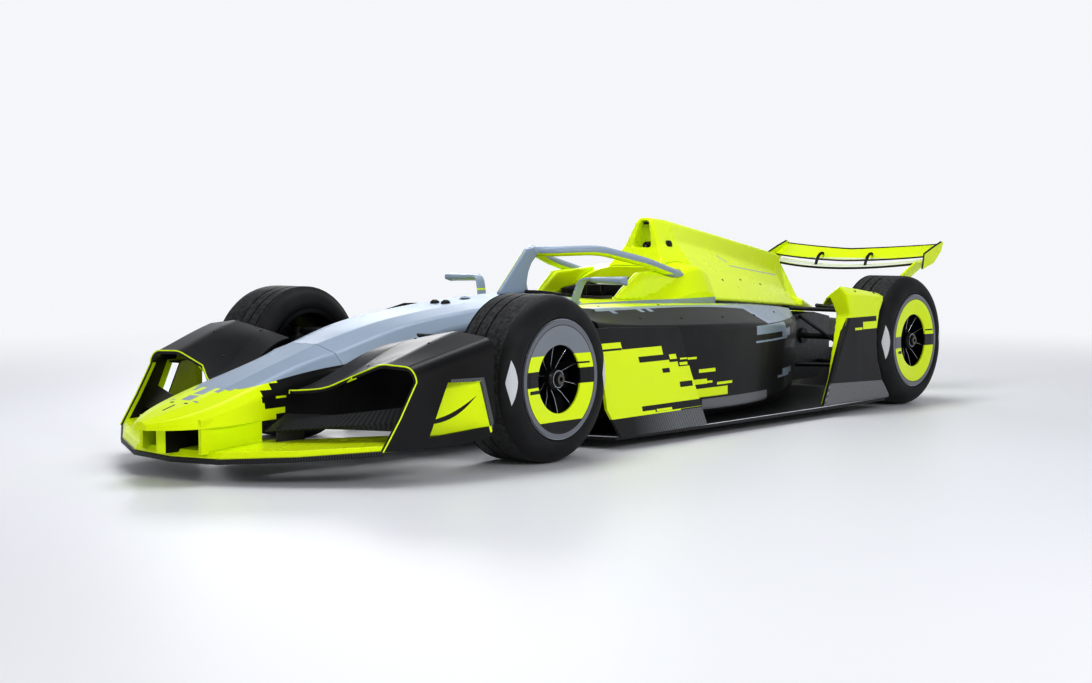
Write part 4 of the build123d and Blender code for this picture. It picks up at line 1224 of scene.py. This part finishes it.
def ahead(outline, steps):
    """A part that looks forward out of the air inlet, turned about the inlet's axis."""
    profile = [(x, 0, INLET_Z + rise) for x, rise in outline]
    return turn(profile, (INLET_X, 0, INLET_Z), (1, 0, 0), steps=steps)


glass = plain_paint("lens_glass", (0.02, 0.022, 0.026), 0.08, coat=1.0, gloss=0.5)
finish_pair(dome((1.083, 0.032, 0.613), 0.023, 0.021), "deck_sensor", black_trim, crease=50)
deck_bump = dome((0.915, 0.0, 0.633), 0.022, 0.011)
finish_piece(deck_bump, "deck_bump", looks["halo_paint"], crease=50)
deck_bump_foot = dome((0.915, 0.0, 0.632), 0.027, 0.004)
finish_piece(deck_bump_foot, "deck_bump_foot", black_trim, crease=50)
finish_piece(ahead(CAMERA_BODY, 40), "inlet_camera", black_trim)
finish_piece(ahead(CAMERA_LENS_RING, 32), "inlet_camera_lens", glass)
# Painted shade: a black button stands in for the dark inside of each round lifting hole on the hoop.
finish_pair(disc_on_side((-0.553, 0.1, 0.858), 0.0235, 0.0075), "hoop_hole_shade", black_trim)
finish_piece(soften(bar(SLOT_FACE, (-0.02, 0, 0)), 0.003), "inlet_slot", black_trim)
print("9 small parts on the cell and the hoop")

# %% [markdown]
# ## Panels with moulded, rounded edges
# Halo, cockpit surround, hoop, cover and rear fairings come out of moulds, so no edge on them is sharp
# and the halo's pillar flows into its hoop like a weld dressed smooth. Rounding such junctions edge by
# edge is slow. A voxel remesh turns the merged shape into an even skin, and a few smoothing passes then
# round every edge at once, as a panel beater's sanding does. The rear fairings first get a closed brow.

# %% Rounded panels
def one_skin(part, extra=()):
    """A merged copy of a CAD part, together with extra closed pieces."""
    piece = join([*extra, duplicate(nodes[part])])
    edit_all(piece)
    bpy.ops.mesh.remove_doubles(threshold=CAD_MERGE)
    start_clean()
    return piece


def remesh(piece, voxel):
    """An even skin of small squares over a closed piece."""
    return work(piece, "REMESH", mode="VOXEL", voxel_size=voxel)


def sand(piece, passes):
    """Smoothing passes that keep the flats and round the edges."""
    return work(piece, "SMOOTH", factor=0.5, iterations=passes)


def brow():
    """The closed front of a left rear fairing, from the crest down to the leading panel."""
    outline = [
        (-1.089, 0.722, 0.598), (-1.075, 0.790, 0.646), (-1.087, 0.828, 0.604), (-1.112, 0.830, 0.500),
        (-1.119, 0.750, 0.500),
    ]
    return bar(outline, (-0.018, 0, 0))


# Rows: name, CAD part, voxel size, sanding passes, paint
MOULDED = [
    ("halo", "halo", 0.0045, 7, "halo_paint"),
    ("collar", "cockpit_collar", 0.006, 5, "collar_paint"),
    ("hoop", "roll_hoop", 0.006, 5, "cover_paint"),
    ("cover", "engine_cover", 0.007, 4, "cover_paint"),
    ("rear_fairings", "rear_fairings", 0.006, 4, "rear_fairing_paint"),
]
left_brow = brow()
start_clean()
added = {"rear_fairings": (left_brow, copy_of(left_brow, flip=True))}
for name, part, voxel, passes, slot in MOULDED:
    panel = sand(remesh(one_skin(part, added.get(part, ())), voxel), passes)
    finish_piece(panel, "moulded_" + name, looks[slot], crease=60)
    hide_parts(part)
    print(panel.name, len(panel.data.polygons), "faces")

# %% [markdown]
# ## Mirrors
# Each mirror is a slim rounded housing on a flat curved arm. The arm is a line bent up and outwards,
# pulled back into a ribbon and thickened, and the housing starts as a block whose nose is drawn
# narrower before all its edges are rounded. The glass is a separate plate set in the rear face.

# %% Mirrors
MIRROR_ARM = [
    (0.500, 0.262, 0.570), (0.494, 0.280, 0.620), (0.487, 0.293, 0.664), (0.482, 0.301, 0.690),
    (0.478, 0.313, 0.708), (0.474, 0.332, 0.716), (0.470, 0.352, 0.718),
]
PANE_CORNERS = [(0.350, 0.6915), (0.525, 0.690), (0.525, 0.7265), (0.350, 0.7255)]


def mirror_arm():
    """The arm of the left mirror, up from the cockpit's side and out to the housing."""
    return soften(band(MIRROR_ARM, (-0.056, 0, 0), 0.012), 0.005, 3)


def pick_faces(piece, axis, sign):
    """Selects the faces of a piece in edit mode that look along one axis."""
    bpy.ops.mesh.select_all(action="DESELECT")
    bpy.ops.mesh.select_mode(type="FACE")
    drawing = bmesh.from_edit_mesh(piece.data)
    for face in drawing.faces:
        face.select_set(face.normal[axis] * sign > 0.8)
    bmesh.update_edit_mesh(piece.data)


def mirror_housing():
    """A block drawn narrower at its nose and its inner end, hollowed where the glass sits."""
    start_clean()
    bpy.ops.mesh.primitive_cube_add(size=1, location=(0.4285, 0.437, 0.7085), scale=(0.049, 0.196, 0.045))
    piece = bpy.context.object
    bpy.ops.object.transform_apply(location=True, rotation=True, scale=True)
    bpy.ops.object.mode_set(mode="EDIT")
    pick_faces(piece, 0, 1)
    bpy.ops.transform.resize(value=(1, 0.96, 0.5), center_override=(0.453, 0.437, 0.712))
    pick_faces(piece, 1, -1)
    bpy.ops.transform.resize(value=(0.8, 1, 0.62), center_override=(0.42, 0.339, 0.716))
    pick_faces(piece, 0, -1)
    bpy.ops.mesh.inset(thickness=0.0045)
    bpy.ops.transform.translate(value=(0.003, 0, 0))
    return soften(piece, 0.0085, 3, 50)


def mirror_paint():
    """The halo's silver, with one lime ring round the inner face of each arm."""
    paint = Paint("mirror_paint", SILVER, roughness=0.4, metallic=0.1, coat=0.06, gloss=0.16)
    inward = paint.facing_out().below(0.2)
    paint.layer(inward * paint.z.within(0.652, 0.660) * paint.side.below(0.33), LIME, 0.26, 0.0)
    paint.layer(paint.facing_front.below(-0.9) * paint.side.above(0.345), BLACK, 0.4, 0.0)
    return paint.done()


mirror_look = mirror_paint()
mirror_glass = plain_paint("mirror_glass", (0.6, 0.62, 0.65), 0.06, 1.0, grain=0.0)
housing_and_arm = join([mirror_housing(), mirror_arm()])
left_mirror, _ = finish_pair(housing_and_arm, "mirror", mirror_look, crease=50)
pane = bar([(0.4062, y, z) for y, z in PANE_CORNERS], (-0.0015, 0, 0))
finish_pair(pane, "mirror_glass", mirror_glass)
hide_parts("mirrors")
print("2 mirrors with glass")

# %% [markdown]
# ## Headrest
# The pad round the driver's head is a block of foam under a stitched black cover. Foam pushes its
# cover outwards and the seams hold it back, so the pad is a crowned form. Here its block is remeshed
# finely, blown up for twenty frames as pressurised cloth with gravity off, and kept within a few
# millimetres of its start. The seams are then pressed in, and the stitches are painted beside them.

# %% Headrest
PAD_VOXEL = 0.006
PAD_SHRINK = 0.0045
CLOTH_FRAMES = 20
CLOTH_PRESSURE = 4.0


def seam_groove(piece, planes, depth=0.0035, width=0.006):
    """Presses narrow grooves into a pad where planes, rows of axis and place, cut through it."""
    places = [vertex.co.copy() for vertex in piece.data.vertices]
    normals = [vertex.normal.copy() for vertex in piece.data.vertices]
    for number, place in enumerate(places):
        push = 0.0
        for axis, level in planes:
            push = max(push, 1 - abs(place[axis] - level) / width)
        piece.data.vertices[number].co = place - normals[number] * depth * max(push, 0)


def blow_up(piece):
    """Runs the piece as a pressurised cloth cover and keeps its last shape."""
    cover = piece.modifiers.new("cover", "CLOTH")
    cover.settings.use_pressure = True
    cover.settings.uniform_pressure_force = CLOTH_PRESSURE
    cover.settings.effector_weights.gravity = 0
    cover.settings.quality = 4
    cover.point_cache.frame_start = 1
    cover.point_cache.frame_end = CLOTH_FRAMES
    for frame_number in range(1, CLOTH_FRAMES + 1):
        bpy.context.scene.frame_set(frame_number)
    bpy.ops.object.modifier_apply(modifier=cover.name)
    bpy.context.scene.frame_set(1)


def inflated(piece, cap=0.007):
    """A closed block made a crowned pad, with each point held near its start."""
    edit_all(remesh(piece, PAD_VOXEL))
    bpy.ops.transform.shrink_fatten(value=-PAD_SHRINK)
    sand(piece, 6)
    start = [vertex.co.copy() for vertex in piece.data.vertices]
    blow_up(piece)
    for vertex, place in zip(piece.data.vertices, start):
        move = vertex.co - place
        if move.length > cap:
            vertex.co = place + move * (cap / move.length)
    return piece


def cover_leather(name, seams, color=(0.009, 0.009, 0.0095)):
    """Fine-grained black cover whose dull lime stitches run in dashes beside each seam."""
    paint = Paint(name, color, roughness=0.62, coat=0.0, grain=0.0012, gloss=0.25)
    paint.layer(paint.noise(420, 4.0).ramp(0.4, 0.65) * 0.5, tuple(channel * 2.2 for channel in color), 0.7)
    along = [paint.y + paint.z, paint.x + paint.z, paint.x + paint.y]
    place = [paint.x, paint.y, paint.z]
    for axis, level in seams:
        beside = (place[axis] - level).apply("ABSOLUTE").within(0.0065, 0.0085)
        dashes = (along[axis] * 140).apply("FRACT").below(0.6)
        paint.layer(beside * dashes, (0.16, 0.2, 0.05), 0.6)
    return paint.done()


# Rows: axis, place
HEADREST_SEAMS = [(1, 0.118), (1, -0.118), (0, -0.19), (2, 0.668)]
headrest_pad = inflated(one_skin("headrest"))
seam_groove(headrest_pad, HEADREST_SEAMS)
headrest_cover = cover_leather("headrest_cover", HEADREST_SEAMS)
finish_piece(headrest_pad, "headrest_pad", headrest_cover, crease=80)
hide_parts("headrest")
print("headrest", len(headrest_pad.data.polygons), "faces")

# %% [markdown]
# ## Seat pads
# The seat shell is bare carbon with a thin pad on its back and one on its base. Each starts as a flat
# block laid on the shell's inner face between two places of the side view, and is then blown up and
# sewn as the headrest is.

# %% Seat pads
PAD_LIFT = 0.003
PAD_HALF = 0.163


def pad_block(start, end, thickness):
    """A block on the seat's inner face between two places of the side view, from side to side."""
    run = Vector((end[0] - start[0], 0, end[1] - start[1])).normalized()
    out = Vector((-run.z, 0, run.x))
    a, b = Vector((start[0], -PAD_HALF, start[1])), Vector((end[0], -PAD_HALF, end[1]))
    low, high = out * PAD_LIFT, out * (PAD_LIFT + thickness)
    return bar([tuple(corner) for corner in (a + low, b + low, b + high, a + high)], (0, 2 * PAD_HALF, 0))


# Rows: name, upper and lower or rear and front place, thickness, seams
SEAT_PADS = [
    ("seat_back_pad", (-0.318, 0.56), (-0.178, 0.206), 0.03, [(2, 0.29), (2, 0.375), (2, 0.46), (1, 0.0)]),
    ("seat_base_pad", (-0.085, 0.1385), (0.205, 0.1745), 0.028, [(0, -0.005), (0, 0.1)]),
]
for name, start, end, thickness, seams in SEAT_PADS:
    pad = inflated(pad_block(start, end, thickness), cap=0.006)
    seam_groove(pad, seams, depth=0.004)
    finish_piece(pad, name, cover_leather(name + "_cover", seams), crease=80)
    print(name, [round(v, 3) for v in pad.dimensions])

# %% [markdown]
# ## Safety belts
# The harness is flat woven webbing, 40 to 45 mm wide and 2 mm thick, with a metal buckle at the waist.
# Webbing bends only across its flat side, so each strap is a line along the seat, pulled sideways into
# a band. The shoulder and lap straps are made for the left and mirrored.

# %% Safety belts
WEBBING = 0.0022
SHOULDER_HALF = 0.0225
SHOULDER_SHIFT = 0.062
CROTCH_HALF = 0.02
# Rows: x, z
SHOULDER_PATH = [
    (-0.335, 0.602), (-0.315, 0.606), (-0.288, 0.585), (-0.262, 0.52), (-0.214, 0.398), (-0.163, 0.27),
    (-0.132, 0.215), (-0.095, 0.192), (-0.035, 0.19),
]
CROTCH_PATH = [(0.125, 0.201), (0.06, 0.198), (-0.03, 0.19)]
LAP_PATH = [(-0.12, 0.170, 0.215), (-0.1, 0.15, 0.206), (-0.07, 0.09, 0.195), (-0.045, 0.02, 0.193)]
BUCKLE = [(-0.03, 0.207), (-0.008, 0.206), (-0.004, 0.202), (-0.003, 0.192), (-0.03, 0.192)]


def webbing_paint():
    """Woven belt with fine ribs across it."""
    paint = Paint("webbing", (0.012, 0.012, 0.013), roughness=0.7, coat=0.0, gloss=0.2)
    rib = ((paint.x + paint.z) * 420).apply("FRACT").below(0.5)
    paint.layer(rib, (0.028, 0.028, 0.03), 0.75)
    return paint.done()


def strap(path, half, shift=0.0):
    """A strap along places of the side view, of that half width about a line beside the middle."""
    return band([(x, shift - half, z) for x, z in path], (0, 2 * half, 0), WEBBING)


webbing = webbing_paint()
shoulder = strap(SHOULDER_PATH, SHOULDER_HALF, SHOULDER_SHIFT)
crotch = strap(CROTCH_PATH, CROTCH_HALF)
lap = band(LAP_PATH, (0.042, 0.004, 0.002), WEBBING)
straps = [shoulder, copy_of(shoulder, flip=True), crotch, lap, copy_of(lap, flip=True)]
for number, piece in enumerate(straps):
    finish_piece(piece, f"harness_strap_{number}", webbing, crease=50)
buckle = turn([(x, 0, z) for x, z in BUCKLE], (-0.03, 0, 0.2), (0, 0, 1), steps=32)
finish_piece(buckle, "harness_buckle", looks["cast_metal"])
print("harness:", len(straps), "straps and a buckle")

# %% [markdown]
# ## Steering wheel
# A racing wheel is a flat carbon plate that carries a screen, rubber grips and rows of turned knobs.
# Its parts are modelled lying flat at the origin, where they are easy to lay out, and then tipped up
# onto the face of the wheel and moved to the column's end.

# %% Steering wheel
WHEEL_TILT = math.radians(16)
WHEEL_CENTER = Vector((0.36, 0, 0.556))
WHEEL_FACE = 0.0185
# Rows: place up the wheel, place aside, height over its face
GRIP_LINE = [(0.052, 0.112, -0.012), (0.03, 0.120, -0.014), (0.0, 0.122, -0.016), (-0.03, 0.120, -0.014),
             (-0.052, 0.112, -0.012)]
KNOBS = [(0.04, 0.072), (0.04, -0.072), (0.012, 0.068), (0.012, -0.068), (-0.02, 0.045), (-0.02, -0.045),
         (-0.045, 0.022), (-0.045, -0.022)]


def onto_wheel(piece, name, look, crease=40):
    """Tips a piece from the flat onto the wheel's face, towards the driver, and mounts it there."""
    close_mesh(piece)
    toward = Vector((-math.cos(WHEEL_TILT), 0, math.sin(WHEEL_TILT)))
    piece.rotation_euler = (0, -(math.pi / 2 - WHEEL_TILT), 0)
    piece.location = WHEEL_CENTER + toward * WHEEL_FACE
    return finish_piece(piece, name, look, "steering_wheel", crease)


def plate(low, high, half, base, thickness):
    """A flat plate between two heights of the wheel, as wide as twice that half."""
    corners = [(low, -half, base), (high, -half, base), (high, half, base), (low, half, base)]
    return bar(corners, (0, 0, thickness))


def knob(up, aside, radius, height=0.008):
    """A turned knob whose edge is chamfered."""
    profile = [(up, aside, 0), (up + radius, aside, 0), (up + radius * 0.9, aside, height * 0.85),
               (up + radius * 0.7, aside, height), (up, aside, height)]
    return turn(profile, (up, aside, 0), (0, 0, 1), steps=20)


screen_rim = soften(plate(0.0, 0.055, 0.05, -0.001, 0.006), 0.002)
screen = plate(0.006, 0.049, 0.043, 0.0045, 0.0012)
onto_wheel(screen_rim, "wheel_screen_frame", looks["grip_black"])
onto_wheel(screen, "wheel_screen", glass)
rubber_grip = cover_leather("grip_rubber", [], (0.012, 0.012, 0.0125))
left_grip = onto_wheel(wire(GRIP_LINE, 0.0165, sides=4), "wheel_grip_left", rubber_grip, 60)
right_grip = copy_of(left_grip, flip=True)
finish_piece(right_grip, "wheel_grip_right", rubber_grip, "steering_wheel", 60)
knob_looks = [lime_line, looks["cast_metal"], looks["dark_steel"]]
for number, (up, aside) in enumerate(KNOBS):
    radius = 0.0075 if number < 4 else 0.009
    onto_wheel(knob(up, aside, radius), f"wheel_knob_{number}", knob_looks[number % 3])
print("steering wheel:", len(KNOBS), "knobs, 2 grips and a screen")

# %% [markdown]
# ## Cockpit rim and floor edge
# A strip of bare woven carbon stands up round the front of the cockpit mouth and keeps the wind off the
# driver. The floor's edge gets a thin pale strip, a painted highlight that shows as one thin bright line
# along the car. Both follow a line in plan, so the rim is a thickened band and the floor strip is a round
# wire.

# %% Cockpit rim and floor edge
DROP_FROM = 3.0
RIM_RISE = 0.027
RIM_SUNK = 0.012
EDGE_Z = 0.0555
# Rows of the left half: x, y
RIM_PLAN = [
    (0.12, 0.236), (0.24, 0.228), (0.33, 0.212), (0.41, 0.18), (0.462, 0.135), (0.487, 0.08), (0.494, 0.03),
]
FLOOR_EDGE = [(0.862, 0.640), (0.826, 0.7735), (0.16, 0.8145), (-0.842, 0.8385), (-1.48, 0.8385)]


def surface_at(name, x, y):
    """Where a line dropped from above meets a piece, and the direction its surface faces there."""
    hit, place, normal, _ = bpy.data.objects[name].ray_cast(Vector((x, y, DROP_FROM)), Vector((0, 0, -1)))
    if not hit:
        raise ValueError(f"{name} has no surface at {x}, {y}")
    return place.copy(), normal.copy()


def rim_paint():
    """Black carbon with a coarse faint weave."""
    paint = Paint("rim_weave", (0.006, 0.006, 0.006), roughness=0.4, coat=0.1, gloss=0.22)
    paint.layer(paint.twill(0.0045), (0.035, 0.034, 0.03), 0.35)
    return paint.done()


rim_plan = RIM_PLAN + [(0.494, 0.0)] + [(x, -y) for x, y in reversed(RIM_PLAN)]
rim_line = []
for x, y in rim_plan:
    deck, _ = surface_at("survival_cell", x + 0.012, y * 1.03)
    rim_line.append((x, y, deck.z - RIM_SUNK))
cockpit_rim = band(rim_line, (0.006, 0, RIM_RISE), 0.006)
finish_piece(soften(cockpit_rim, 0.002), "cockpit_rim", rim_paint(), crease=45)
# Painted highlight: a pale strip along the floor's edge stands in for the light it catches there.
painted_floor_highlight = plain_paint("painted_floor_highlight", (0.72, 0.74, 0.77), 0.35, 0.2)
floor_highlight_strip = wire([(x, y, EDGE_Z) for x, y in FLOOR_EDGE], 0.0022, sides=1)
finish_pair(floor_highlight_strip, "floor_highlight_strip", painted_floor_highlight, crease=60)
print("rim from", [round(v, 3) for v in rim_line[0]], "to", [round(v, 3) for v in rim_line[7]])

# %% [markdown]
# ## Fasteners
# The panels are held by quarter-turn fasteners that come undone with one twist, so that the car can be
# stripped in the garage. One is a button whose top is inset twice and sunk in the middle. The copies
# are set down where a line dropped onto the panel meets it, and tipped to lie flat on the surface.

# %% Fasteners
def fastener():
    """A quarter-turn fastener lying flat at the origin, 12 mm across, with a sunk middle."""
    start_clean()
    bpy.ops.mesh.primitive_cylinder_add(vertices=16, radius=0.0062, depth=0.004, location=(0, 0, -0.0006))
    head = bpy.context.object
    bpy.ops.object.mode_set(mode="EDIT")
    pick_faces(head, 2, 1)
    bpy.ops.mesh.inset(thickness=0.0013)
    bpy.ops.transform.translate(value=(0, 0, 0.0004))
    bpy.ops.mesh.inset(thickness=0.0026)
    bpy.ops.mesh.extrude_region_move(TRANSFORM_OT_translate={"value": (0, 0, -0.0012)})
    start_clean()
    return head


# Rows for each panel: x, y; each fastener has a twin on the other side
FASTENER_PLACES = {
    "sidepod_left": [(0.62, 0.50), (0.40, 0.60), (0.10, 0.62), (-0.25, 0.62), (-0.6, 0.58), (-0.95, 0.48),
                     (0.45, 0.40), (0.0, 0.42)],
    "moulded_cover": [(-0.68, 0.24), (-0.9, 0.20), (-1.15, 0.15), (-1.4, 0.12)],
    "front_fairing_left": [(1.98, 0.42), (1.85, 0.62), (1.74, 0.45)],
    "moulded_rear_fairings": [(-1.2, 0.81), (-1.4, 0.81)],
}
first_fastener = fastener()
heads = []
for name, spots in FASTENER_PLACES.items():
    for x, y in spots:
        place, normal = surface_at(name, x, y)
        head = duplicate(first_fastener)
        head.rotation_euler = Vector((0, 0, 1)).rotation_difference(normal).to_euler()
        head.location = place
        bpy.ops.object.transform_apply(location=True, rotation=True, scale=True)
        heads += [head, copy_of(head, flip=True)]
take(first_fastener)
bpy.ops.object.delete()
fastener_metal = plain_paint("fastener_metal", (0.05, 0.052, 0.056), 0.35, 0.7, spots=0.3)
finish_piece(join(heads), "panel_fasteners", fastener_metal, crease=30)
print(len(heads), "fasteners")
